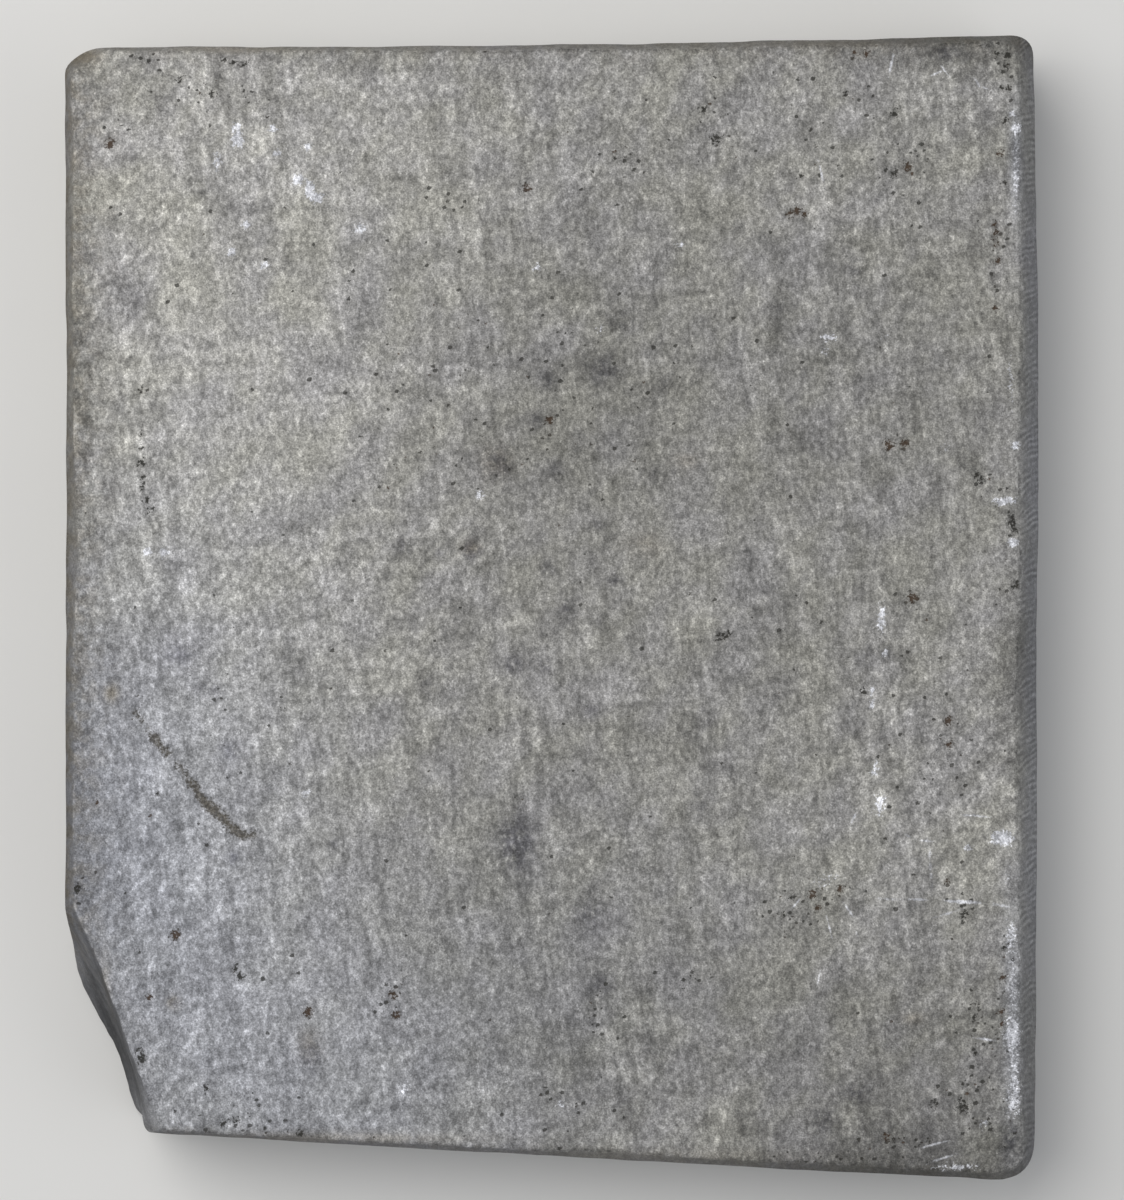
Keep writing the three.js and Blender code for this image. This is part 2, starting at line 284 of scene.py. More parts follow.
# Thin scratches: from (x, y), to (x, y), width, strength.
SCRATCHES = (
    ((110.1, 35), (115.4, 34.7), 0.3, 0.9), ((115.8, 34.6), (118.7, 34.3), 0.3, 0.4),
    ((105.8, 35.2), (108.4, 35.1), 0.25, 0.8), ((101.4, 35.3), (105.6, 35.2), 0.2, 0.3),
    ((108.2, 32.6), (113.4, 34.2), 0.2, 0.3), ((107.1, 42.6), (109.3, 42.3), 0.22, 0.5),
    ((105.2, 43.3), (106.9, 42.7), 0.2, 0.35), ((112.3, 45.8), (116.7, 45.4), 0.2, 0.4),
    ((108.4, 42.3), (108.8, 36.4), 0.3, 0.3), ((91.2, 33.9), (92.5, 35.5), 0.18, 0.6),
    ((95.5, 33.6), (96.4, 29.9), 0.18, 0.55), ((97.5, 35), (99.1, 32.9), 0.2, 0.5),
    ((99.2, 31.6), (99.6, 30.3), 0.18, 0.4), ((94.8, 26.3), (94.5, 24.6), 0.18, 0.4),
    ((98.6, 44.5), (99.4, 46.2), 0.2, 0.5), ((104.1, 141.3), (103.3, 137.8), 0.22, 0.5),
    ((109.8, 139.5), (111.1, 137.9), 0.2, 0.55), ((108.5, 138.1), (110.1, 138.8), 0.2, 0.5),
    ((114.1, 137.9), (114.9, 136.6), 0.2, 0.5), ((114.9, 136.9), (116.6, 136.1), 0.2, 0.4),
    ((94.3, 128.6), (95.4, 124.3), 0.2, 0.35), ((113.9, 17.9), (116.9, 17.5), 0.24, 0.8),
    ((107.4, 4.1), (110.9, 5), 0.22, 0.6), ((108, 2.1), (111.9, 3.4), 0.22, 0.45),
    ((21.8, 131.8), (22.3, 130.7), 0.3, 0.8), ((29.2, 125.6), (29.4, 124.4), 0.35, 0.85),
    ((30.4, 125.4), (31.1, 124.3), 0.32, 0.85), ((31.1, 124.3), (30.9, 123.1), 0.32, 0.85),
)

# Soft grey smudges in the face: (x, y, reach x, reach y, strength).
SMUDGES = (
    (67.9, 101.4, 2.4, 2.2, 0.7), (69.8, 107.6, 2, 1.8, 0.5), (54.8, 89.5, 1.9, 2.2, 0.7),
    (42.8, 79.1, 1.3, 1.3, 0.6), (47.3, 78.6, 1.2, 1.2, 0.6), (51.4, 78.6, 1.3, 1.3, 0.6),
    (60.8, 76.4, 1.3, 1.5, 0.6), (63.3, 71.4, 1.4, 1.5, 0.6), (66.9, 69.9, 1.2, 1.2, 0.5),
    (56.7, 42, 2.6, 4, 0.8), (66.1, 33.2, 1.7, 2.6, 0.6), (67.3, 24.5, 1.8, 1.8, 0.6),
    (99.2, 113.9, 1.5, 1.5, 0.5), (89.2, 108.9, 1.5, 1.5, 0.5), (75.4, 99.5, 1.3, 1.3, 0.5),
    (60.8, 100.1, 1.3, 1.3, 0.6), (59.2, 95.1, 1.4, 1.2, 0.6), (61.9, 88.9, 1.2, 1.2, 0.5),
    (74.2, 88.2, 1.2, 1.2, 0.5), (101.7, 65.7, 2.2, 2, 0.4), (84.8, 72.6, 1.5, 1.5, 0.4),
    (80.4, 57.6, 1.5, 1.5, 0.4), (9.8, 110.1, 2, 2.4, 0.35), (31.1, 15.7, 1.6, 2.2, 0.6),
    (14.8, 65.7, 2.2, 1.8, 0.5), (12, 134.5, 2, 1.6, 0.3), (113, 91, 2, 2, 0.3), (17.5, 124, 2, 1, 0.4),
    (28, 114.5, 1.4, 1.2, 0.4), (80, 47, 2, 2.5, 0.4), (21, 53.7, 1.8, 1.6, 0.5),
    (18.6, 61.5, 1.6, 1.2, 0.5), (21.3, 40.3, 0.9, 0.8, 0.7), (34, 42, 0.9, 0.8, 0.6),
    (56.5, 64.5, 1.2, 1.2, 0.7), (60.4, 64.3, 1.1, 1.1, 0.6), (66.3, 58.4, 1.1, 1.1, 0.6),
    (45.5, 62.1, 1.6, 2, 0.5), (69.2, 75.1, 1, 0.7, 0.7), (67, 82.1, 1.3, 0.9, 0.5),
    (51.1, 79, 0.9, 0.8, 0.8), (14, 22.3, 0.6, 0.6, 0.8), (99.2, 10.9, 2.6, 1.6, 0.6),
    (95.6, 7.5, 2, 2, 0.6), (118.7, 5, 1.2, 2.2, 0.8), (110.5, 141, 2.2, 1, 0.8),
)

# Broad differences of tone over the face: (x, y, reach x, reach y, amount). They are partly the stone's own
# and partly painted light, lighter at the upper left and darker at the lower right where the light falls off.
TONES = (
    (17, 126, 26, 22, 0.13), (25, 96, 24, 20, 0.13), (18, 60, 16, 26, 0.11), (64, 104, 18, 18, -0.1),
    (101, 108, 16, 20, -0.04), (109, 12, 20, 16, -0.185), (50, 30, 14, 16, -0.06),
    (74, 20, 22, 16, -0.08), (103, 44, 14, 12, 0.075), (92, 136, 16, 8, 0.03), (88, 72, 38, 66, -0.08),
    (26, 18, 16, 16, 0.07), (62, 92, 16, 14, -0.06), (112, 142.5, 14, 3.5, -0.22),
    (116, 110, 10, 30, -0.03), (119.5, 65, 2.5, 8, -0.25), (106, 2.5, 18, 4.5, -0.3),
    (62, 20, 10, 26, -0.04), (50, 60, 10, 12, -0.03), (40, 128, 16, 12, 0.05), (24, 114, 9, 14, -0.06),
    (118.9, 20, 1.2, 14, 0.08), (116, 52, 8, 18, 0.03), (8, 92, 10, 34, 0.03), (24, 136, 10, 8, 0.025),
    (36, 40, 24, 24, 0.02), (82, 72, 10, 9, 0.03), (46, 87, 14, 8, -0.025), (97, 100, 12, 24, -0.022),
    (2.4, 100, 1.6, 14, -0.07), (2.4, 46, 1.6, 14, -0.06), (2.4, 140.6, 2.2, 1, -0.15),
)

# Where the stone is bluish rather than warm: (x, y, reach x, reach y, share). The broad patches over the
# lower left are painted cool light; the narrow ones along the right edge follow the bevel's bluish grey.
COOL = (
    (4, 42, 26, 36, 0.85), (34, 6, 28, 22, 0.55), (60, 30, 30, 20, 0.15), (118.9, 20, 1.4, 15, 0.6),
    (119.3, 128, 0.9, 7, 0.6), (121.8, 70, 1.6, 90, 0.6),
)

# Where earth has stained the stone brown: (x, y, reach x, reach y, share).
STAINS = (
    (2.4, 140.6, 2.2, 1.2, 1.2), (1.5, 127.6, 0.8, 1.8, 0.6), (22, 141.6, 9, 0.7, 0.6),
    (98, 142.2, 14, 0.7, 0.5), (106.5, 20.3, 1.5, 0.7, 0.5), (51.1, 79.2, 1.1, 0.9, 0.7),
    (73, 79.5, 2.4, 1.5, 0.35), (78, 90, 1.6, 1, 0.4), (54.3, 89.9, 2, 2, 0.5),
    (6.2, 61, 0.9, 1.2, 0.8), (31, 17, 1.4, 1.8, 0.4), (14, 22.3, 0.7, 0.7, 0.9), (70, 3, 30, 0.8, 0.3),
    (30, 5.2, 20, 0.8, 0.5), (5.4, 24, 0.8, 5, 0.4),
)

# The strokes of the gouge: from (x, y), to (x, y), share of the full width and depth.
GOUGES = (
    ((9.2, 58.4), (10.1, 57.5), 0.6), ((10.7, 56.6), (11.3, 55.7), 0.55),
    ((11.5, 55.4), (13, 53.5), 0.85), ((14.4, 52), (16.2, 49.8), 0.6),
    ((16.2, 49.8), (17.1, 48.1), 0.8), ((17.1, 48.1), (20.8, 44.6), 1),
    ((20.8, 44.6), (22.5, 43.1), 0.95), ((22.5, 43.1), (23.9, 43.2), 0.7),
)

# What the tone of the stone is made of, on its face and on its sides, and what stands up in relief.
FACE_TONE = {
    "grain": 2.1, "fine": 1.7, "flakes": 0.28, "mottle": 0.2, "upright": 0.9, "level": 0.5,
    "slanting": 0.6, "specks": 0.2,
}
SIDE_TONE = {"grain": 1.1, "fine": 1.1, "mottle": 0.15, "rasp": 0.28, "splinters": 1.8}
RELIEF = {"grain": 0.5, "fine": 0.25, "upright": 0.6, "holes": -1.2, "rasp": 0.12}
TONE_STRENGTH = 1.6  # how much a full step in TONES counts

# The soft lights: name, setting for its power, size and place in metres, and colour.
LIGHTS = (
    ("main_light", "key_power", 0.85, (-0.40, 0.30, 0.72), (1.0, 0.99, 0.97)),
    ("fill_light", "fill_power", 0.6, (0.55, -0.2, 0.5), (0.96, 0.98, 1.0)),
)
SKY_COLOUR = (240, 243, 250)
TABLE_REACH = 2.0  # metres from the middle to its sides
TABLE_GAP = 0.0001  # metres between the table and the panel
CAMERA_PLACE = (1.35, 0.9)  # millimetres from the panel's middle


# ------------------------------------------------------------------------------------------------
# Shapes


def hills(x, y, reach, seed, wrap=None):
    """Smooth random hills between -1 and 1: a lattice of seeded random heights, reach apart in x and
    in y, joined by the smooth step 6t^5 - 15t^4 + 10t^3. With wrap, x closes on itself after it."""
    across, up = (reach, reach) if np.isscalar(reach) else reach
    columns = LATTICE if wrap is None else max(4, round(wrap / across))
    u = x / across if wrap is None else x / wrap * columns
    v = y / up
    heights = np.random.default_rng(SEED * 1000 + seed).uniform(-1, 1, (columns, LATTICE))
    i, j = np.floor(u).astype(int), np.floor(v).astype(int)
    s, t = u - i, v - j
    s, t = (k**3 * (k * (6 * k - 15) + 10) for k in (s, t))
    i0, i1, j0, j1 = i % columns, (i + 1) % columns, j % LATTICE, (j + 1) % LATTICE
    low = heights[i0, j0] * (1 - s) + heights[i1, j0] * s
    high = heights[i0, j1] * (1 - s) + heights[i1, j1] * s
    return low * (1 - t) + high * t


def leaning_hills(x, y, lean, reach, seed):
    """The same hills, with the lattice turned by lean degrees."""
    c, s = math.cos(math.radians(lean)), math.sin(math.radians(lean))
    return hills(c * x + s * y, c * y - s * x, reach, seed)


def piled_hills(x, y, rows, wrap=None):
    """The sum of several sets of hills, each with its own height, reach and seed."""
    return sum(height * hills(x, y, reach, seed, wrap) for height, reach, seed in rows)


def spot(x, y, centre_x, centre_y, reach_x, reach_y):
    """A round bump, 1 at its centre: e to the minus of the squares of x and y from there, each over
    its reach."""
    return np.exp(-(((x - centre_x) / reach_x) ** 2) - ((y - centre_y) / reach_y) ** 2)


def spots(x, y, rows):
    """The sum of round bumps, each with its own strength."""
    total = np.zeros_like(x)
    for centre_x, centre_y, reach_x, reach_y, strength in rows:
        total += strength * spot(x, y, centre_x, centre_y, reach_x, reach_y)
    return total


def distance_to_line(x, y, start, end):
    """How far each point is from the straight line between start and end."""
    (ax, ay), (bx, by) = start, end
    length = (bx - ax) ** 2 + (by - ay) ** 2
    t = np.clip(((x - ax) * (bx - ax) + (y - ay) * (by - ay)) / length, 0, 1)
    return np.hypot(x - ax - t * (bx - ax), y - ay - t * (by - ay))


def eased(t, start, end):
    """Rises from 0 at start to 1 at end, level at both: 3u^2 - 2u^3 for the share u of the way."""
    u = np.clip((t - start) / (end - start), 0, 1)
    return u * u * (3 - 2 * u)


def arc(start, end, bow, t):
    """A shallow parabola from start to end that swells by bow, at mid-length, to its right."""
    start, end = np.array(start), np.array(end)
    run = end - start
    right = np.array((run[1], -run[0])) / np.hypot(*run)
    return start + np.outer(t, run) + np.outer(4 * t * (1 - t) * bow, right)


def curve_through(points, t):
    """A smooth curve through the points, each of its coordinates a cubic in the share of the way
    along, with the slope at a point that of the line between its two neighbours."""
    points = np.array(points)
    place = np.linspace(0, 1, len(points))
    slope = np.gradient(points, place, axis=0)
    k = np.clip(np.searchsorted(place, t, side="right") - 1, 0, len(points) - 2)
    step = place[1]
    u = ((t - place[k]) / step)[:, None]
    start, end = points[k], points[k + 1]
    leave, arrive = slope[k] * step, slope[k + 1] * step
    return (
        start * (2 * u**3 - 3 * u**2 + 1)
        + leave * (u**3 - 2 * u**2 + u)
        + end * (3 * u**2 - 2 * u**3)
        + arrive * (u**3 - u**2)
    )


def outward(line):
    """The direction at right angles to a closed counter-clockwise line, pointing out of it."""
    run = np.roll(line, -1, axis=0) - np.roll(line, 1, axis=0)
    run /= np.linalg.norm(run, axis=1)[:, None]
    return np.stack((run[:, 1], -run[:, 0]), axis=1)


def smoothed(values, reach):
    """A closed row of values, each replaced by the bell-weighted mean of the nine nearest it."""
    offsets = np.arange(-4, 5)
    weights = np.exp(-0.5 * (offsets / reach) ** 2)
    total = sum(w * np.roll(values, -o, axis=0) for w, o in zip(weights, offsets))
    return total / weights.sum()


def towards_middle(points, distance):
    """Points moved by distance towards the middle of the panel."""
    away = np.array((WIDTH, HEIGHT)) / 2 - points
    return points + away / np.linalg.norm(away, axis=1)[:, None] * np.reshape(distance, (-1, 1))


def edge_lines(name, t, depths, undercut):
    """The face line, waist, foot and depth of the waist along a plain edge, at the shares t of the
    way. The face line has its worn places, and the foot swings out to meet the break's."""
    edge = EDGES[name]
    face, waist = arc(*edge["face"], t), arc(*edge["waist"], t)
    for worn, place, reach, shift in WORN_EDGES:
        if worn == name:
            face += np.outer(shift * np.exp(-(((t - place) / reach) ** 2)), outward(face)[len(t) // 2])
    foot = towards_middle(waist, undercut)
    if name == "left":
        foot += np.outer(eased(t, BREAK_START, 1), np.array(BREAK_FOOT[0]) - foot[-1])
    if name == "bottom":
        foot += np.outer(1 - eased(t, 0, BREAK_END), np.array(BREAK_FOOT[-1]) - foot[0])
    start, end = (depths[key] for key in edge["bevel"])
    return {"face": face, "waist": waist, "foot": foot, "bevel": start + (end - start) * t, "broken": 0 * t}


def break_lines(t, depths, lean):
    """The same along the break. Its depth is the root of the sine of the way along, so it dies out at
    either end, and its waist lies at the share lean of the way from lip to foot."""
    lip, foot = curve_through(BREAK_LIP, t), curve_through(BREAK_FOOT, t)
    depth = np.sqrt(np.sin(np.pi * t))
    ends = np.where(t[:, None] < 0.5, EDGES["left"]["waist"][1], EDGES["bottom"]["waist"][0])
    leaning = lip + (foot - lip) * (lean + LOW_LEAN * eased(t, 0.7, 1))[:, None]
    waist = leaning * depth[:, None] + ends * (1 - depth[:, None])
    bevel = depths["worn_bevel"] + (depths["lip_depth"] - depths["worn_bevel"]) * depth
    return {"face": lip, "waist": waist, "foot": foot, "bevel": bevel, "broken": depth}


def outline(sizes):
    """Lays out the edges one after another, and takes stations along them at even distances.

    Returns, for each station, its face line, waist and foot in plan, the depth of its waist, how far
    it belongs to the break, from 0 to 1, and its distance along the face line. The first station is
    the left end of the lower edge, and four of them, at CELLS_ACROSS and CELLS_UP apart, are the
    corners of the face's grid. Last, each line wanders in and out by low hills.
    """
    t = np.linspace(0, 1, EDGE_STEPS, endpoint=False)
    depth_names = ("right_bevel", "left_bevel", "worn_bevel", "softening", "lip_depth")
    depths = {name: getattr(sizes, name) / MM for name in depth_names}
    edges = [edge_lines(name, t, depths, sizes.undercut / MM) for name in EDGES]
    edges.append(break_lines(t, depths, sizes.lip_lean))
    joined = {key: np.concatenate([edge[key] for edge in edges]) for key in edges[0]}

    rounded = [list(EDGES).index(name) for name in ("lower_right", "upper_right", "upper_left")]
    corners = (0, *(place * EDGE_STEPS + EDGE_STEPS // 2 for place in rounded), len(edges) * EDGE_STEPS)
    counts = (CELLS_ACROSS, CELLS_UP, CELLS_ACROSS, CELLS_UP)
    closed = {key: np.concatenate((values, values[:1])) for key, values in joined.items()}
    step = np.linalg.norm(np.diff(closed["face"], axis=0), axis=1)
    along = np.concatenate(((0,), np.cumsum(step)))
    places = np.concatenate(
        [np.linspace(along[a], along[b], n, endpoint=False) for a, b, n in zip(corners, corners[1:], counts)]
    )
    stations = {"along": places, "round": along[-1]}
    for key, values in closed.items():
        columns = values.reshape(len(values), -1).T
        picked = np.stack([np.interp(places, along, column) for column in columns], axis=1)
        stations[key] = np.squeeze(smoothed(picked, 0.8))

    out, broken = outward(stations["face"]), stations["broken"]
    for key, rows in WANDER.items():
        wander = piled_hills(places, 0 * places, rows, along[-1])
        if key == "foot":
            wander = np.minimum(wander, FOOT_SWELL) * (1 - 0.7 * broken)
        else:
            wander = wander * (1 + 0.8 * broken)
        stations[key] += out * wander[:, None]
    return stations


def coons(closed, across, up):
    """Fills a closed line with a grid: at each point, the mean that the lower and upper edges give,
    plus the one that the left and right edges give, less the one that the four corners give."""
    bottom = closed[: across + 1]
    right = closed[across : across + up + 1]
    top = closed[across + up : 2 * across + up + 1][::-1]
    left = np.concatenate((closed[2 * across + up :], closed[:1]))[::-1]
    u = np.linspace(0, 1, across + 1)[None, :, None]
    v = np.linspace(0, 1, up + 1)[:, None, None]
    ends = (1 - v) * bottom[None] + v * top[None] + (1 - u) * left[:, None] + u * right[:, None]
    lower = (1 - u) * bottom[0] + u * bottom[-1]
    upper = (1 - u) * top[0] + u * top[-1]
    return ends - (1 - v) * lower - v * upper


def ring_of_grid(across, up):
    """The places in a grid, row by row, of its border, counter-clockwise from the lower left."""
    row, last = across + 1, (across + 1) * up
    bottom = np.arange(across)
    right = across + row * np.arange(up)
    top = last + across - np.arange(across)
    left = last - row * np.arange(up)
    return np.concatenate((bottom, right, top, left))


def grid_quads(first, across, up):
    """The four corners of each cell of a grid whose points are numbered from first."""
    i, j = np.meshgrid(np.arange(across), np.arange(up))
    a = (first + j * (across + 1) + i).ravel()
    return np.stack((a, a + 1, a + across + 2, a + across + 1), axis=1)


def band_quads(upper, lower):
    """The quads between two closed rings of the same count, facing out of the rings."""
    return np.stack((upper, lower, np.roll(lower, -1), np.roll(upper, -1)), axis=1)


def fan_band(fine, coarse):
    """Joins a ring to one with a quarter of its points: five triangles to each of its steps."""
    f = [fine[k::4] for k in range(4)] + [np.roll(fine[::4], -1)]
    c, d = coarse, np.roll(coarse, -1)
    fans = ((f[0], c, f[1]), (f[1], c, f[2]), (f[2], c, d), (f[2], d, f[3]), (f[3], d, f[4]))
    return np.concatenate([np.stack(fan, axis=1) for fan in fans])


def gouge_depth(x, y, sizes):
    """How deep the gouge is at each point, as a share: 1 along its line, falling with the square
    of the distance to nothing at its sides, which low hills make ragged."""
    depth = np.zeros_like(x)
    ragged = 0.2 * hills(x, y, 0.9, 21)
    for start, end, share in GOUGES:
        half_width = sizes.gouge_width / MM * (1 + share) / 4
        away = distance_to_line(x, y, start, end) + ragged
        depth = np.maximum(depth, share * np.clip(1 - (away / half_width) ** 2, 0, 1))
    return depth


def pit_fields(x, y):
    """How deep the pits are at each point, and the share of brown in what has settled there. A pit
    is a round bump 1.5 times as wide as it is named, made ragged by low hills."""
    depth, brown = np.zeros_like(x), np.zeros_like(x)
    ragged_x, ragged_y = 0.18 * hills(x, y, 0.9, 22), 0.18 * hills(x, y, 0.9, 23)
    for kind, rows in PITS.items():
        for centre_x, centre_y, radius in rows:
            reach = 1.5 * radius
            depth = np.maximum(depth, spot(x + ragged_x, y + ragged_y, centre_x, centre_y, reach, reach))
            if kind == "brown":
                reach = 1.6 * radius
                brown = np.maximum(brown, spot(x, y, centre_x, centre_y, reach, reach))
    return depth, brown


def grime(x, y):
    """How much darker the stone is towards its edges: e to the minus of the distance inwards over a
    reach, or of its square at the lower edge. It goes on rising over the bevel on the left."""
    from_left, from_top, from_bottom = x - 1.2, 142.3 - y, y - (6.6 - 0.05 * x)
    parts = (
        np.exp(-from_left / np.where(from_left > 0, 2.6, 1.8)),
        0.8 * np.exp(-np.clip(from_top, 0, None) / 1.4),
        0.45 * np.exp(-((np.clip(from_bottom, 0, None) / 0.9) ** 2)),
    )
    return np.maximum.reduce(parts)


def face_relief(x, y, sizes):
    """How far the face stands above or below its mean: slow waves, two sets of tool marks, the
    upright ones leaning a little to the left, and the peck marks between them."""
    upright = leaning_hills(x, y, 7, (1.6, 7.0), 14) + 0.7 * leaning_hills(x, y, 4, (3.1, 14.0), 15)
    level = leaning_hills(x, y, 3, (6.0, 1.9), 16) * (0.6 + 0.6 * hills(x, y, 30, 17))
    marks = 0.5 * upright + 0.35 * level + 0.35 * hills(x, y, 1.15, 18)
    return piled_hills(x, y, FACE_WAVES) + sizes.mark_depth / MM * marks


def side_relief(s, z, length, broken, sizes):
    """The same for the sides, along s and up z. Dressed sides carry slanting rasp lines, a sine of
    the place across them, and soft pecks. The break has broad scallops instead."""
    turns = s * 0.55 + z * 0.45 + 0.8 * hills(s, z, (7, 5), 31, length)
    rasp = 0.012 * np.sin(2 * np.pi * turns)
    dressed = 0.07 * hills(s, z, (11, 8), 34, length) + piled_hills(s, z, SIDE_PECKS, length) + rasp
    split = piled_hills(s, z, SIDE_SCALLOPS, length)
    return (dressed * (1 - broken) + split * broken) * sizes.side_roughness


def ripples(plan, height):
    """Rings that spread from the blow in the break: a sine of the distance, dying out with it."""
    away = np.sqrt(((plan - BLOW[:2]) ** 2).sum(axis=1) + (height - BLOW[2]) ** 2)
    return RIPPLE_HEIGHT * np.sin(2 * np.pi * away / RIPPLE_LENGTH) * np.exp(-((away / RIPPLE_REACH) ** 2))


def side_rings(stations, border_height, sizes):
    """The rings from the face's border out over the bevel, down the wall and round the foot: the
    plan and the heights of each, how rough it is, and its shares of the bevel and of the wall."""
    face, waist, foot, bevel = (stations[key] for key in ("face", "waist", "foot", "bevel"))
    arris = sizes.foot_arris / MM
    rings = []
    for share in BEVEL_RINGS:
        height = border_height * (1 - share) + THICKNESS * share - bevel * share**BEVEL_ROUNDING
        rings.append((face + (waist - face) * share, height, 0.25 * share, share, 0))
    for share in np.linspace(0, 1, WALL_RINGS + 1)[1:]:
        hollow = sizes.scar_hollow / MM * np.sin(np.pi * share) * stations["broken"] ** 2
        plan = towards_middle(waist + (foot - waist) * share, hollow)
        height = (THICKNESS - bevel) * (1 - share) + arris * share
        rings.append((plan, height, 0.25 + 0.75 * min(1, 4 * share), 1, share))
    for turn in np.radians(FOOT_TURNS):
        plan = towards_middle(foot, arris * (1 - math.cos(turn)))
        height = np.full(len(plan), arris * (1 - math.sin(turn)))
        rings.append((plan, height, 1 - math.sin(turn), 1, 1))
    return rings


def panel_surface(sizes):
    """Builds every point of the panel, and the values that its material reads.

    The face is a grid that fills the outline. From its border, rings run out over the bevel, down
    the wall and round the foot, and the underside is a coarser grid. A ring's plan goes in a
    straight line from face line to waist to foot. Its height falls by the bevel's depth times the
    share of the way out to the power BEVEL_ROUNDING, and then evenly down the wall. Relief moves
    the face up and down and the sides in and out, and each chip pushes the points that are near it.
    """
    stations = outline(sizes)
    length, broken = stations["round"], stations["broken"]
    count = len(broken)
    out = outward(stations["face"])

    face = coons(stations["face"], CELLS_ACROSS, CELLS_UP).reshape(-1, 2)
    x, y = face.T
    i, j = np.meshgrid(np.arange(CELLS_ACROSS + 1), np.arange(CELLS_UP + 1))
    rim_distance = CELL * np.minimum.reduce((i, CELLS_ACROSS - i, j, CELLS_UP - j)).ravel()
    gouge, (pits, brown) = gouge_depth(x, y, sizes), pit_fields(x, y)
    relief = face_relief(x, y, sizes)
    relief -= sizes.gouge_depth / MM * gouge + sizes.pit_depth / MM * np.minimum(pits, PIT_FLOOR)
    relief -= RIM_FALL * np.exp(-((rim_distance / RIM_REACH) ** 2))
    face_height = THICKNESS - (relief.max() - relief)
    border = ring_of_grid(CELLS_ACROSS, CELLS_UP)

    rings = side_rings(stations, face_height[border], sizes)
    ring_points = []
    for plan, height, roughness, _, _ in rings:
        push = side_relief(stations["along"], height, length, broken, sizes) - SIDE_SETBACK
        push += ripples(plan, height) * broken
        ring_points.append(np.column_stack((plan + out * (push * roughness)[:, None], height)))

    under_cells = (CELLS_ACROSS // COARSER, CELLS_UP // COARSER)
    under = coons(towards_middle(rings[-1][0][::COARSER], UNDERSIDE_INSET), *under_cells).reshape(-1, 2)
    under_height = sum(height for height, _, _ in UNDERSIDE_WAVES) + piled_hills(*under.T, UNDERSIDE_WAVES)
    parts = (np.column_stack((face, face_height)), *ring_points, np.column_stack((under, under_height)))
    points = np.concatenate(parts)
    for centre, reach, push in CHIPS:
        near = np.exp(-(((points - np.array(centre)) / np.array(reach)) ** 2).sum(axis=1))
        points += np.outer(near, push)

    quads = [grid_quads(0, CELLS_ACROSS, CELLS_UP)]
    upper = border
    for first in len(face) + count * np.arange(len(rings)):
        quads.append(band_quads(upper, first + np.arange(count)))
        upper = first + np.arange(count)
    first_under = len(face) + len(rings) * count
    triangles = fan_band(upper, first_under + ring_of_grid(*under_cells))
    quads.append(grid_quads(first_under, *under_cells)[:, ::-1])

    def laid_out(on_face, on_rings, on_underside):
        """One value for each point. A column on_rings has one for each ring, and a row for each station."""
        sides = np.broadcast_to(on_rings, (len(rings), count)).ravel()
        ends = np.broadcast_to(on_face, len(face)), np.broadcast_to(on_underside, len(under))
        return np.concatenate((ends[0], sides, ends[1])).astype(float)

    x, y, z = points.T
    upwards = laid_out(1, 0, 0)
    bevel_share, wall_share = np.array([ring[3:] for ring in rings], dtype=float).T[:, :, None]
    rim_distance = laid_out(rim_distance, BEVEL_TOP + BEVEL_BREADTH * bevel_share, FAR)
    values = {
        "pits": laid_out(pits, 0, 0),
        "brown": laid_out(brown, 0, 0),
        "gouge": laid_out(gouge, 0, 0),
        "pepper": np.clip(spots(x, y, PEPPERED), 0, 1) * upwards,
        "bruise": np.clip(spots(x, y, BRUISES), 0, 1) * np.clip((z - 15) / 2, 0, 1),
        "smudge": np.clip(spots(x, y, SMUDGES), 0, 1) * upwards,
        "tone": 0.5 + spots(x, y, TONES),
        "grime": grime(x, y) * (0.35 + 0.65 * eased(z, 2, 15)),
        "cool": np.clip(spots(x, y, COOL), 0, 1),
        "stain": np.clip(spots(x, y, STAINS), 0, 1),
        "broken": laid_out(0, broken, 0),
        "fall": laid_out(0, wall_share, 1),
        "rasped": eased(x, WIDTH - 4, WIDTH - 2) * eased(z, 6, 13),
        "rim": np.exp(-((rim_distance / RIM_BAND_REACH) ** 2)),
        "flank": laid_out(0, np.clip(4.5 * bevel_share, 0, 1), 1),
    }
    points = np.clip(points + PANEL_LOW, PANEL_LOW, PANEL_HIGH)
    return points * MM, np.concatenate(quads), triangles, values


def mesh_object(name, points, quads, triangles, values):
    """Puts points and faces into a new smooth mesh object, with one named value for each point."""
    mesh = bpy.data.meshes.new(name)
    mesh.vertices.add(len(points))
    mesh.vertices.foreach_set("co", points.ravel())
    mesh.loops.add(quads.size + triangles.size)
    mesh.loops.foreach_set("vertex_index", np.concatenate((quads.ravel(), triangles.ravel())))
    mesh.polygons.add(len(quads) + len(triangles))
    starts = (np.arange(len(quads)) * 4, quads.size + np.arange(len(triangles)) * 3)
    mesh.polygons.foreach_set("loop_start", np.concatenate(starts))
    mesh.update(calc_edges=True)
    mesh.polygons.foreach_set("use_smooth", np.ones(len(mesh.polygons), dtype=bool))
    for key, row in values.items():
        attribute = mesh.attributes.new(key, "FLOAT", "POINT")
        attribute.data.foreach_set("value", np.ascontiguousarray(row, dtype=np.float32))
    if mesh.validate():
        raise RuntimeError(f"{name}: the mesh had faults")
    made = bpy.data.objects.new(name, mesh)
    bpy.context.collection.objects.link(made)
    return made


# ------------------------------------------------------------------------------------------------
# Materials


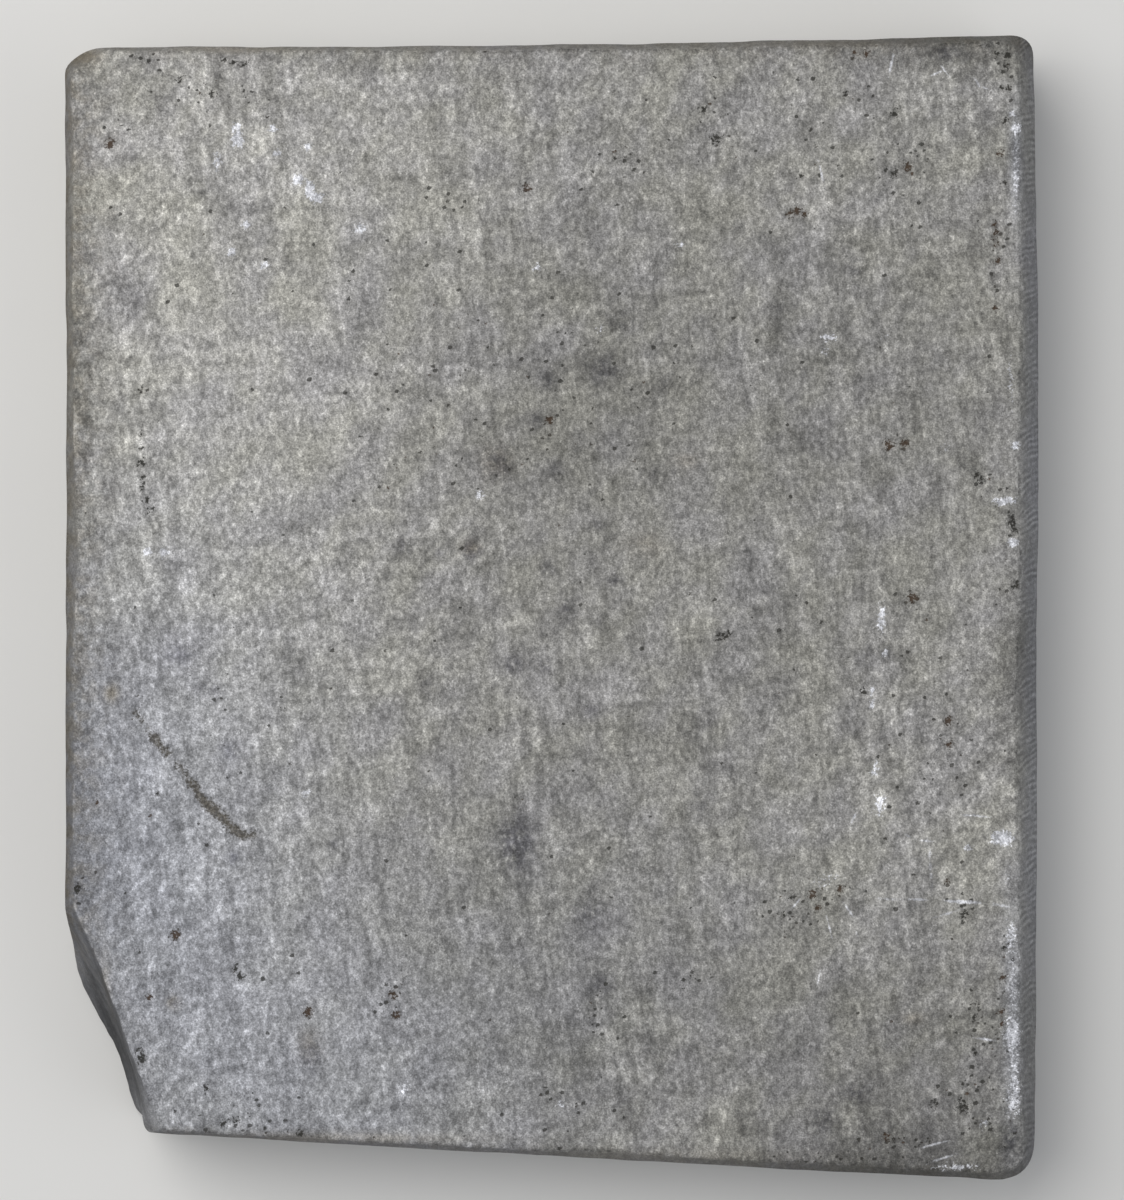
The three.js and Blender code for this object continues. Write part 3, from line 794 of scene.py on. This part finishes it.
class Nodes:
    """Adds nodes to a tree, left to right, and links what is given as an input."""

    def __init__(self, tree):
        self.tree = tree
        self.column = 0

    def add(self, kind, *inputs, settings=(), **named):
        node = self.tree.nodes.new(kind)
        self.column += 1
        node.location = (190 * (self.column % 24), -260 * (self.column // 24))
        for key, value in dict(settings).items():
            setattr(node, key, value)
        for place, value in [*enumerate(inputs), *named.items()]:
            self.give(node.inputs[place], value)
        return node

    def give(self, socket, value):
        if isinstance(value, bpy.types.NodeSocket):
            self.tree.links.new(value, socket)
        else:
            socket.default_value = value

    def combine(self, operation, *inputs, clamp=False):
        settings = {"operation": operation, "use_clamp": clamp}
        return self.add("ShaderNodeMath", *inputs, settings=settings).outputs[0]

    def plus(self, first, second):
        return self.combine("ADD", first, second)

    def minus(self, first, second):
        return self.combine("SUBTRACT", first, second)

    def times(self, first, *others):
        for other in others:
            first = self.combine("MULTIPLY", first, other)
        return first

    def most(self, first, second):
        return self.combine("MAXIMUM", first, second)

    def weighted(self, pairs):
        """The sum of values, each times its weight."""
        terms = [value if weight == 1 else self.times(value, weight) for value, weight in pairs]
        return reduce(self.plus, terms)

    def mixed(self, parts, weights, contrast=1.0):
        """The sum of the named parts, each times its weight and the contrast."""
        return self.weighted((parts[name], weight * contrast) for name, weight in weights.items())

    def swing(self, value, amount=1.0):
        """Turns 0 to 1 into a swing of half the amount either way about 0."""
        centred = self.minus(value, 0.5)
        return centred if amount == 1 else self.times(centred, amount)

    def ranged(self, inputs, **settings):
        return self.add("ShaderNodeMapRange", *inputs, settings=settings).outputs[0]

    def fade(self, value, low, high, out_low=0.0, out_high=1.0):
        """Maps low..high to out_low..out_high, easing at both ends."""
        return self.ranged((value, low, high, out_low, out_high), interpolation_type="SMOOTHSTEP")

    def span(self, value, low, high, out_low=0.0, out_high=1.0):
        """Maps low..high to out_low..out_high in a straight line, without stopping at the ends."""
        return self.ranged((value, low, high, out_low, out_high), clamp=False)

    def blend(self, share, first, second, kind="MIX"):
        node = self.add("ShaderNodeMix", settings={"data_type": "RGBA", "blend_type": kind})
        for place, value in ((0, share), (6, first), (7, second)):
            self.give(node.inputs[place], value)
        return node.outputs[2]

    def shaded(self, colour, tone):
        """A colour made lighter or darker: multiplied by e to the power of the tone."""
        light = self.combine("POWER", math.e, tone)
        grey = self.add("ShaderNodeCombineXYZ", light, light, light).outputs[0]
        return self.blend(1.0, colour, grey, "MULTIPLY")

    def noise(self, where, scale, detail=2.0, roughness=0.5):
        inputs = {"Vector": where, "Scale": scale, "Detail": detail, "Roughness": roughness}
        return self.add("ShaderNodeTexNoise", **inputs).outputs[0]

    def frayed(self, mask, noise, amount, edge, foot):
        """A mask with a ragged edge: it and the noise's swing together fade in over edge, and
        nothing is left where the mask alone is below foot."""
        swung = self.plus(mask, self.swing(noise, amount))
        return self.times(self.fade(swung, *edge), self.fade(mask, *foot))

    def mapped(self, where, **frame):
        """The place as it is read from a frame that is moved, turned and drawn out."""
        return self.add("ShaderNodeMapping", where, settings={"vector_type": "TEXTURE"}, **frame).outputs[0]

    def turned(self, where, degrees, stretch):
        """The place that draws a pattern turned by degrees about the upright. Its own directions
        are then multiplied by stretch, so less than 1 draws the pattern out."""
        turn, scale = (0, 0, math.radians(degrees)), [1 / share for share in stretch]
        return self.mapped(where, Rotation=turn, Scale=scale)

    def apart(self, vector):
        return self.add("ShaderNodeSeparateXYZ", vector).outputs

    def values_of(self, *names):
        """The panel's own values of those names."""
        attributes = [self.add("ShaderNodeAttribute", settings={"attribute_name": name}) for name in names]
        return [attribute.outputs["Fac"] for attribute in attributes]

    def placed(self, tree, **inputs):
        return self.add("ShaderNodeGroup", settings={"node_tree": tree}, **inputs).outputs


def group(name, inputs, outputs):
    """A new shader node group that takes a place and the named numbers, and puts out the named
    numbers. Returns it with its tools and its two ends."""
    tree = bpy.data.node_groups.new(name, "ShaderNodeTree")
    tree.interface.new_socket("Place", in_out="INPUT", socket_type="NodeSocketVector")
    for label, default in inputs.items():
        socket = tree.interface.new_socket(label, in_out="INPUT", socket_type="NodeSocketFloat")
        socket.default_value = default
    for label in outputs:
        tree.interface.new_socket(label, in_out="OUTPUT", socket_type="NodeSocketFloat")
    nodes = Nodes(tree)
    return tree, nodes, nodes.add("NodeGroupInput").outputs, nodes.add("NodeGroupOutput").inputs


def stone_grain():
    """The stone itself: closely packed light and dark grains, with finer ones between them.

    Grain is the tone, about 0, of grains a little longer than they are wide. Fine is the tone of
    the finest. Flakes is that of crisp-edged crystals, each of one tone. Mottle is that of
    sparse cloudy patches, darker than the rest, and Hue drifts from warm, 0, to violet, 1.
    Specks is above 0 on the palest grains and on painted glints, and below it in the darkest crevices."""
    outputs = ("Grain", "Fine", "Flakes", "Mottle", "Hue", "Specks")
    tree, nodes, given, out = group("stone_grain", {"Size": 0.6}, outputs)
    place = given["Place"]
    pitch = nodes.combine("DIVIDE", 1.0, given["Size"])
    long_grain = nodes.turned(place, 6, (1, 0.68, 1))
    aside = nodes.turned(place, 50, (0.8, 1, 1))

    def noise(where, share, detail, roughness=0.6):
        return nodes.noise(where, nodes.times(pitch, share), detail, roughness)

    sway = nodes.add("ShaderNodeTexNoise", Vector=long_grain, Scale=2.5, Detail=0.0).outputs["Color"]
    swayed = nodes.add("ShaderNodeVectorMath", long_grain, sway, settings={"operation": "ADD"}).outputs[0]
    crystals = nodes.add("ShaderNodeTexVoronoi", Vector=swayed, Scale=nodes.times(pitch, 1.35))
    flake = nodes.add("ShaderNodeSeparateColor", crystals.outputs["Color"]).outputs[0]
    speck = noise(place, 1.7, 1.0)
    light, dark = nodes.fade(speck, 0.6, 0.74), nodes.fade(speck, 0.38, 0.25, 0.0, 1.5)
    # Painted glints: tiny bright points that stand in for light caught by crystals.
    painted_glint = nodes.fade(noise(aside, 3.1, 0.0, 0.5), 0.74, 0.84, 0.0, 1.6)
    made = {
        "Grain": nodes.swing(nodes.noise(long_grain, pitch, 2.5, 0.62)),
        "Fine": nodes.swing(noise(place, 2.6, 1.5)),
        "Flakes": nodes.swing(flake),
        "Mottle": nodes.fade(noise(place, 0.17, 3.0), 0.54, 0.3, 0.16, -0.84),
        "Hue": nodes.fade(noise(aside, 0.06, 4.0), 0.3, 0.7),
        "Specks": nodes.minus(nodes.plus(light, painted_glint), dark),
    }
    for label, value in made.items():
        nodes.give(out[label], value)
    return tree


def tool_marks():
    """Marks of a tool drawn over the stone one way, in patches: a noise about 0, whose strength
    comes and goes with a slower one. The place is given already drawn out along the strokes."""
    tree, nodes, given, out = group("tool_marks", {"Spacing": 1.6, "Patch": 12.0}, ("Marks",))
    strokes = nodes.noise(given["Place"], nodes.combine("DIVIDE", 1.0, given["Spacing"]), 1.5, 0.6)
    patches = nodes.noise(given["Place"], nodes.combine("DIVIDE", 1.0, given["Patch"]), 1.0)
    strength = nodes.fade(patches, 0.35, 0.62, 0.2, 1.6)
    nodes.give(out["Marks"], nodes.times(nodes.swing(strokes), strength))
    return tree


def tiny_holes():
    """Round holes of uneven size, one to a cell of a random mosaic, in the share of its cells that
    Share asks for. Holes is 1 in a hole, and Brown is the share of brown in its dirt."""
    tree, nodes, given, out = group("tiny_holes", {"Share": 0.0}, ("Holes", "Brown"))
    mosaic = nodes.turned(given["Place"], 20, (0.9, 1.1, 0.01))
    cells = nodes.add("ShaderNodeTexVoronoi", Vector=mosaic, Scale=1.25).outputs
    kept, size, colour = nodes.add("ShaderNodeSeparateColor", cells["Color"]).outputs
    away = nodes.plus(cells["Distance"], nodes.swing(nodes.noise(given["Place"], 4.0, 1.0), 0.45))
    radius = nodes.span(size, 0.0, 1.0, 0.12, 0.36)
    hole = nodes.fade(nodes.minus(away, radius), 0.05, -0.06)
    nodes.give(out["Holes"], nodes.times(hole, nodes.combine("LESS_THAN", kept, given["Share"])))
    nodes.give(out["Brown"], nodes.fade(colour, 0.35, 0.8))
    return tree


def rasp_lines():
    """Fine straight lines, side by side, left by a rasp drawn slantwise: a sine of the place across
    them, swaying a little and coming and going in patches."""
    tree, nodes, given, out = group("rasp_lines", {"Pitch": 0.5}, ("Lines",))
    place = given["Place"]
    along_x, _, upright = nodes.apart(nodes.turned(place, -32, (1, 1, 1)))
    across = nodes.plus(along_x, nodes.times(upright, 0.5))
    sway = nodes.times(nodes.noise(place, 0.35, 1.0), 1.6)
    turns = nodes.plus(nodes.combine("DIVIDE", across, given["Pitch"]), sway)
    patches = nodes.fade(nodes.noise(place, 0.6, 2.0), 0.35, 0.65)
    nodes.give(out["Lines"], nodes.times(nodes.combine("SINE", nodes.times(turns, math.tau)), patches))
    return tree


def nearness_to_scratch(nodes, place):
    """How near a place is to the middle of a scratch: the scratch's strength there, 0 at its edge and
    less outside. Each is a thin ellipse, a little longer than its line. The place is moved to its
    middle, turned to lie along it and divided by its half length and its width, so that its edge is
    at a distance of 1."""
    near = []
    for start, end, width, strength in SCRATCHES:
        run_x, run_y = end[0] - start[0], end[1] - start[1]
        ellipse = {
            "Location": (start[0] + run_x / 2 + PANEL_LOW[0], start[1] + run_y / 2 + PANEL_LOW[1], 0),
            "Rotation": (0, 0, math.atan2(run_y, run_x)),
            "Scale": (0.58 * math.hypot(run_x, run_y), width, FAR),
        }
        local = nodes.mapped(place, **ellipse)
        away = nodes.add("ShaderNodeVectorMath", local, settings={"operation": "LENGTH"}).outputs["Value"]
        near.append(nodes.combine("MULTIPLY_ADD", away, -strength, strength))
    return reduce(nodes.most, near)


def linear(colour):
    """A colour as seen on a screen, 0 to 255, as the light values that a shader takes."""
    share = np.array(colour[:3]) / 255
    light = np.where(share > 0.04045, ((share + 0.055) / 1.055) ** 2.4, share / 12.92)
    return (*light.tolist(), 1.0)


def stone_parts(nodes, place, surface):
    """The patterns that the stone is made of, by name, each a value that changes over it."""
    grains = nodes.placed(stone_grain(), Place=place, Size=surface.grain_size / MM)
    parts = {label.lower(): grains[label] for label in grains.keys()}
    spacing = surface.mark_spacing / MM
    strokes = {
        "upright": (7, (1, 0.2, 1), spacing, 9.0),
        "level": (2, (0.22, 1, 1), spacing, 9.0),
        "slanting": (-38, (1, 0.3, 1), 0.7 * spacing, 12.0),
        "splinters": (21, (1, 0.14, 0.6), 1.3, 12.0),
    }
    marks = tool_marks()
    for name, (degrees, stretch, apart, patch) in strokes.items():
        drawn_out = nodes.turned(place, degrees, stretch)
        parts[name] = nodes.placed(marks, Place=drawn_out, Spacing=apart, Patch=patch)[0]

    flank, broken, rasped, pepper = nodes.values_of("flank", "broken", "rasped", "pepper")
    rasp = nodes.placed(rasp_lines(), Place=place, Pitch=surface.rasp_pitch / MM)[0]
    holes, parts["hole_brown"] = nodes.placed(tiny_holes(), Place=place, Share=pepper)
    parts["rasp"] = nodes.times(rasp, rasped)
    parts["splinters"] = nodes.times(parts["splinters"], broken)
    parts["holes"] = nodes.times(holes, surface.hole_darkness)
    parts["on_face"] = nodes.minus(1.0, flank)
    parts["face_tone"] = nodes.mixed(parts, FACE_TONE, surface.grain_contrast)
    parts["side_tone"] = nodes.mixed(parts, SIDE_TONE, surface.grain_contrast)
    return parts


def toned_stone(nodes, place, surface, colour, parts):
    """The clean stone. Its colour is multiplied by e to the power of its tone: 0 is the plain stone,
    and 0.1 a tenth lighter.

    The patterns give the tone. To that are added the panel's broad differences of tone, which are partly
    painted light that falls off from the upper left, and a painted highlight along the rim on the left.
    Painted shade makes it darker on the sides and towards the foot of the break. It is also darker in a line
    along the rim, and in the grime towards the edges."""
    tone, broken, rim, flank, fall, grimy, cool, stain = nodes.values_of(
        "tone", "broken", "rim", "flank", "fall", "grime", "cool", "stain"
    )
    patchy = nodes.noise(place, 0.5, 3.0, 0.6)
    # Painted shade: the break grows darker towards its foot.
    depth = nodes.times(broken, broken, nodes.span(fall, 0.0, 1.0, 0.55, 1.0))
    # Darker in a thin, patchy line along the rim.
    dark_rim_line = nodes.times(rim, nodes.fade(patchy, 0.3, 0.65, 0.08, 0.4))
    leftward = nodes.fade(nodes.apart(place)[0], PANEL_LOW[0] + 6, PANEL_LOW[0] + 3)
    # Painted highlight: a pale line along the rim on the left, where light catches the arris.
    painted_rim_highlight = nodes.times(rim, leftward, nodes.fade(patchy, 0.35, 0.6, 0.1, 0.5))
    grime_share = nodes.times(grimy, nodes.span(patchy, 0.3, 0.7, 0.7, 1.3))
    on_face = nodes.times(parts["face_tone"], parts["on_face"])
    on_sides = nodes.times(parts["side_tone"], flank)
    tones = (
        (nodes.plus(on_face, on_sides), 1),
        (nodes.swing(tone), TONE_STRENGTH),
        # Painted shade: the sides are darker than the face, and the foot of the break darker still.
        (flank, -surface.flank_painted_shade),
        (depth, -surface.break_painted_shade),
        (dark_rim_line, -1.0),
        (painted_rim_highlight, 1),
        (grime_share, -surface.grime_strength),
    )

    earthy = nodes.times(grime_share, nodes.fade(patchy, 0.4, 0.6, 0.1, 0.45))
    stained = nodes.times(stain, nodes.fade(patchy, 0.3, 0.55, 0.4, 1.0))
    stone = nodes.blend(parts["hue"], colour("warm"), colour("violet"))
    # Over the lower left, this bluish tint is painted cool light.
    stone = nodes.blend(cool, stone, colour("cool"))
    stone = nodes.blend(nodes.most(earthy, stained), stone, colour("earth"))
    return nodes.shaded(stone, nodes.weighted(tones))


def soiled(nodes, place, surface, colour, parts, stone):
    """The stone with its smudges, and with dirt in its pits, its tiny holes and the gouge."""
    pits, brown, gouge, smudge = nodes.values_of("pits", "brown", "gouge", "smudge")
    holes = parts["holes"]
    cloud = nodes.fade(nodes.noise(place, 0.9, 3.0, 0.65), 0.25, 0.6)
    smudged = nodes.combine("MULTIPLY", nodes.times(smudge, cloud), surface.smudge_strength, clamp=True)
    stone = nodes.blend(smudged, stone, colour("smudge"), "MULTIPLY")

    speckle = nodes.noise(place, 2.6, 2.0, 0.7)
    pitted = nodes.times(nodes.frayed(pits, speckle, 2.4, (0.4, 0.7), (0.03, 0.2)), 0.92)
    halo = nodes.times(nodes.fade(pits, 0.05, 0.9), 0.3)
    hole_brown = nodes.times(parts["hole_brown"], nodes.combine("GREATER_THAN", holes, 0.01))
    dirt = nodes.blend(nodes.most(brown, hole_brown), colour("pit"), colour("brown"))
    stone = nodes.blend(nodes.most(nodes.most(pitted, holes), halo), stone, dirt)

    soil = nodes.blend(nodes.fade(speckle, 0.42, 0.62), colour("soil"), colour("deep_soil"))
    filled = nodes.times(nodes.frayed(gouge, speckle, 2.0, (0.2, 0.8), (0.0, 0.25)), 0.85)
    return nodes.blend(filled, stone, soil)


def bruised(nodes, place, surface, colour, parts, stone):
    """The stone with its bruises and scratches, where it is crushed to a pale powder."""
    (bruise,) = nodes.values_of("bruise")
    powder = nodes.noise(place, 2.4, 3.0, 0.8)
    frayed = nodes.frayed(bruise, powder, 2.6, (0.45, 0.75), (0.03, 0.2))
    ragged = nodes.swing(nodes.noise(place, 1.4, 3.0, 0.7), 1.3)
    scratch = nodes.fade(nodes.plus(nearness_to_scratch(nodes, place), ragged), 0.0, 0.6, 0.0, 0.85)
    pale = nodes.most(nodes.times(frayed, surface.bruise_strength), nodes.times(scratch, parts["on_face"]))
    crushed = nodes.shaded(colour("bruise"), nodes.plus(nodes.times(parts["face_tone"], 1.1), -0.08))
    return nodes.blend(pale, stone, crushed)


def dressed_stone(surface):
    """The panel's one material. Grain, tool marks and cloudy patches set the tone of the stone.
    Over that lie smudges, the dirt that has settled in pits and gouge, and pale bruises."""
    material = bpy.data.materials.new("dressed_stone")
    material.use_nodes = True
    material.node_tree.nodes.clear()
    nodes = Nodes(material.node_tree)
    place = nodes.turned(nodes.add("ShaderNodeTexCoord").outputs["Object"], 0, [1 / MM] * 3)
    parts = stone_parts(nodes, place, surface)

    def colour(name):
        return linear(getattr(surface, f"{name}_colour"))

    stone = toned_stone(nodes, place, surface, colour, parts)
    stone = soiled(nodes, place, surface, colour, parts, stone)
    stone = bruised(nodes, place, surface, colour, parts, stone)
    relief = nodes.mixed(parts, RELIEF)
    bump = nodes.add("ShaderNodeBump", Strength=0.55, Distance=surface.grain_relief, Height=relief)
    shader = nodes.add("ShaderNodeBsdfPrincipled")
    nodes.give(shader.inputs["Base Color"], stone)
    nodes.give(shader.inputs["Roughness"], nodes.span(parts["fine"], -0.3, 0.3, 0.78, 0.95))
    shader.inputs["Specular IOR Level"].default_value = 0.3
    nodes.give(shader.inputs["Normal"], bump.outputs[0])
    nodes.add("ShaderNodeOutputMaterial", shader.outputs[0])
    return material


def table_material(stage):
    """A plain pale painted table top, with the faintest unevenness in its sheen."""
    material = bpy.data.materials.new("pale_table")
    material.use_nodes = True
    nodes = Nodes(material.node_tree)
    shader = material.node_tree.nodes["Principled BSDF"]
    place = nodes.add("ShaderNodeTexCoord").outputs["Object"]
    shader.inputs["Base Color"].default_value = linear(stage.table_colour)
    nodes.give(shader.inputs["Roughness"], nodes.fade(nodes.noise(place, 30.0, 3.0), 0.3, 0.7, 0.6, 0.75))
    return material


# ------------------------------------------------------------------------------------------------
# Settings


def length(name, description, millimetres):
    return FloatProperty(name=name, description=description, default=millimetres * MM, unit="LENGTH")


def amount(name, description, default):
    return FloatProperty(name=name, description=description, default=default)


def screen_colour(name, description, default):
    description += ", as seen on a screen, 0 to 255"
    return FloatVectorProperty(name=name, description=description, default=default, min=0, max=255)


class StonePanelSizes(bpy.types.PropertyGroup):
    """Sizes of the panel's edges and of the marks in its surface."""

    right_bevel: length("Right bevel", "How far below the face the right bevel ends", 3)
    left_bevel: length("Left bevel", "How far below the face the left bevel ends", 2.2)
    worn_bevel: length("Worn bevel", "The same for the lower left edge, where it dies out", 1.5)
    softening: length("Softening", "The same for the top and lower edges", 1.3)
    undercut: length("Undercut", "How far the walls lean in from bevel to foot", 0.5)
    foot_arris: length("Foot arris", "Wear along the lower edge, all round", 0.8)
    lip_depth: length("Lip of the break", "Depth of the steep band along the top of the broken corner", 2.4)
    lip_lean: amount("Lean of the lip", "Share of the break's spread that lies within that band", 0.22)
    scar_hollow: length("Hollow of the break", "How far the broken corner is dished below its lip", 1.1)
    mark_depth: length("Tool mark depth", "Height of the tool marks on the face", 0.07)
    side_roughness: amount("Side roughness", "Unevenness of the sides, where 1 is as dressed", 1.0)
    pit_depth: length("Pit depth", "Depth of a full pit", 0.4)
    gouge_width: length("Gouge width", "Width of the gouge", 1.85)
    gouge_depth: length("Gouge depth", "Depth of the gouge", 0.5)


class StonePanelSurface(bpy.types.PropertyGroup):
    """Colours and strengths of the stone's material."""

    warm_colour: screen_colour("Warm stone", "The stone where it is warmest", (152.7, 151, 143.6))
    violet_colour: screen_colour("Violet stone", "The stone where it tends to violet", (150.6, 149, 147.8))
    # This tint also paints the cool light over the lower left of the face.
    cool_colour: screen_colour("Cool stone", "The stone where it is coolest", (147, 149, 156))
    earth_colour: screen_colour("Stained stone", "The stone where earth has stained it", (152, 144, 129))
    smudge_colour: screen_colour("Smudge", "The tint that a soft smudge lays over the stone", (180, 180, 186))
    pit_colour: screen_colour("Pit dirt", "Dirt in the black pits", (42, 41, 36))
    brown_colour: screen_colour("Brown dirt", "Dirt in the brown pits", (70, 51, 34))
    soil_colour: screen_colour("Soil", "Earth in the gouge", (97, 91, 79))
    deep_soil_colour: screen_colour("Deep soil", "Earth in the gouge where it is darkest", (56, 51, 43))
    bruise_colour: screen_colour("Bruise", "Crushed stone in bruises and scratches", (216, 217, 222))
    grain_size: length("Grain size", "Breadth of a grain", 0.55)
    mark_spacing: length("Tool mark spacing", "Distance between tool marks", 1.3)
    grain_relief: length("Grain relief", "Height of the finest relief", 0.25)
    grain_contrast: amount("Grain contrast", "Contrast of the grain and the marks", 1.0)
    # Painted shade on the sides and on the foot of the broken corner.
    flank_painted_shade: amount("Side darkening", "How much darker the sides are", 0.28)
    break_painted_shade: amount("Break darkening", "How much darker still the foot of the broken corner is", 1.35)
    grime_strength: amount("Grime", "How much darker the face is towards its edges", 0.45)
    rasp_pitch: length("Rasp pitch", "Distance between rasp lines on the sides", 0.45)
    hole_darkness: amount("Tiny holes", "Darkness of the tiny holes", 0.8)
    smudge_strength: amount("Smudge strength", "Strength of the smudges", 1.7)
    bruise_strength: amount("Bruise strength", "Strength of the bruises", 0.92)


class StoneStageSettings(bpy.types.PropertyGroup):
    """The table, the lights and the camera."""

    table_colour: screen_colour("Table", "The table top", (226, 225, 222))
    key_power: amount("Main light", "Power of the soft light at the upper left", 6.2)
    fill_power: amount("Fill light", "Power of the soft light at the right", 0.9)
    sky_strength: amount("Room light", "Strength of the light from all round", 0.34)
    camera_height: length("Camera height", "Height of the camera above the face", 620)
    frame_height: length("Frame height", "How much of the face's plane the frame takes in", 150)


# ------------------------------------------------------------------------------------------------
# Operators


class STONE_OT_add_panel(bpy.types.Operator):
    """Build the dressed stone panel, in place of its plain CAD solid"""

    bl_idname = "stone.add_panel"
    bl_label = "Add Stone Panel"

    def execute(self, context):
        points, quads, triangles, values = panel_surface(context.scene.stone_sizes)
        panel = mesh_object("dressed_panel", points, quads, triangles, values)
        panel.data.materials.append(dressed_stone(context.scene.stone_surface))
        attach(panel, "root")
        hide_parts("stone_panel")
        return {"FINISHED"}


def soft_light(name, power, size, place, colour):
    """A square soft light that faces the panel."""
    lamp = bpy.data.lights.new(name, "AREA")
    lamp.shape = "SQUARE"
    lamp.size = size
    lamp.energy = power
    lamp.color = colour
    light = bpy.data.objects.new(name, lamp)
    light.location = place
    light.rotation_euler = (-Vector(place)).to_track_quat("-Z", "Y").to_euler()
    bpy.context.collection.objects.link(light)


class STONE_OT_set_stage(bpy.types.Operator):
    """Set out the pale table, the soft lights and the camera above the panel"""

    bl_idname = "stone.set_stage"
    bl_label = "Set Stage"

    def execute(self, context):
        scene, stage = context.scene, context.scene.stone_stage
        scene.view_settings.view_transform = "Standard"
        height = PANEL_LOW[2] * MM - TABLE_GAP
        signs = np.array([(-1, -1), (1, -1), (1, 1), (-1, 1)])
        corners = np.column_stack((signs * TABLE_REACH, np.full(len(signs), height)))
        table = mesh_object("table", corners, np.array([[0, 1, 2, 3]]), np.zeros((0, 3), int), {})
        table.data.materials.append(table_material(stage))

        world = bpy.data.worlds.new("room")
        world.use_nodes = True
        sky = world.node_tree.nodes["Background"]
        sky.inputs["Color"].default_value = linear(SKY_COLOUR)
        sky.inputs["Strength"].default_value = stage.sky_strength
        scene.world = world
        for name, power, size, place, colour in LIGHTS:
            soft_light(name, getattr(stage, power), size, place, colour)

        camera = bpy.data.cameras.new("camera")
        camera.sensor_width = 36
        camera.lens = camera.sensor_width * stage.camera_height / stage.frame_height
        camera.clip_start = 0.01
        view = bpy.data.objects.new("camera", camera)
        aside = (place * MM for place in CAMERA_PLACE)
        view.location = (*aside, PANEL_HIGH[2] * MM + stage.camera_height)
        bpy.context.collection.objects.link(view)
        scene.camera = view
        return {"FINISHED"}


class STONE_PT_sidebar(bpy.types.Panel):
    """The stone panel's settings and its two building steps."""

    bl_label = "Stone Panel"
    bl_idname = "STONE_PT_sidebar"
    bl_space_type = "VIEW_3D"
    bl_region_type = "UI"
    bl_category = "Stone"

    def draw(self, context):
        steps = (
            (context.scene.stone_sizes, None),
            (context.scene.stone_surface, STONE_OT_add_panel),
            (context.scene.stone_stage, STONE_OT_set_stage),
        )
        for settings, operator in steps:
            column = self.layout.column(align=True)
            for key in settings.__annotations__:
                column.prop(settings, key)
            if operator:
                self.layout.operator(operator.bl_idname)


SETTINGS = {
    "stone_sizes": StonePanelSizes,
    "stone_surface": StonePanelSurface,
    "stone_stage": StoneStageSettings,
}
CLASSES = (*SETTINGS.values(), STONE_OT_add_panel, STONE_OT_set_stage, STONE_PT_sidebar)


def register():
    for cls in CLASSES:
        bpy.utils.register_class(cls)
    for name, cls in SETTINGS.items():
        setattr(bpy.types.Scene, name, PointerProperty(type=cls))


def unregister():
    for name in SETTINGS:
        delattr(bpy.types.Scene, name)
    for cls in reversed(CLASSES):
        bpy.utils.unregister_class(cls)


def main():
    register()
    bpy.ops.stone.set_stage()
    bpy.ops.stone.add_panel()


if __name__ == "__main__":
    main()
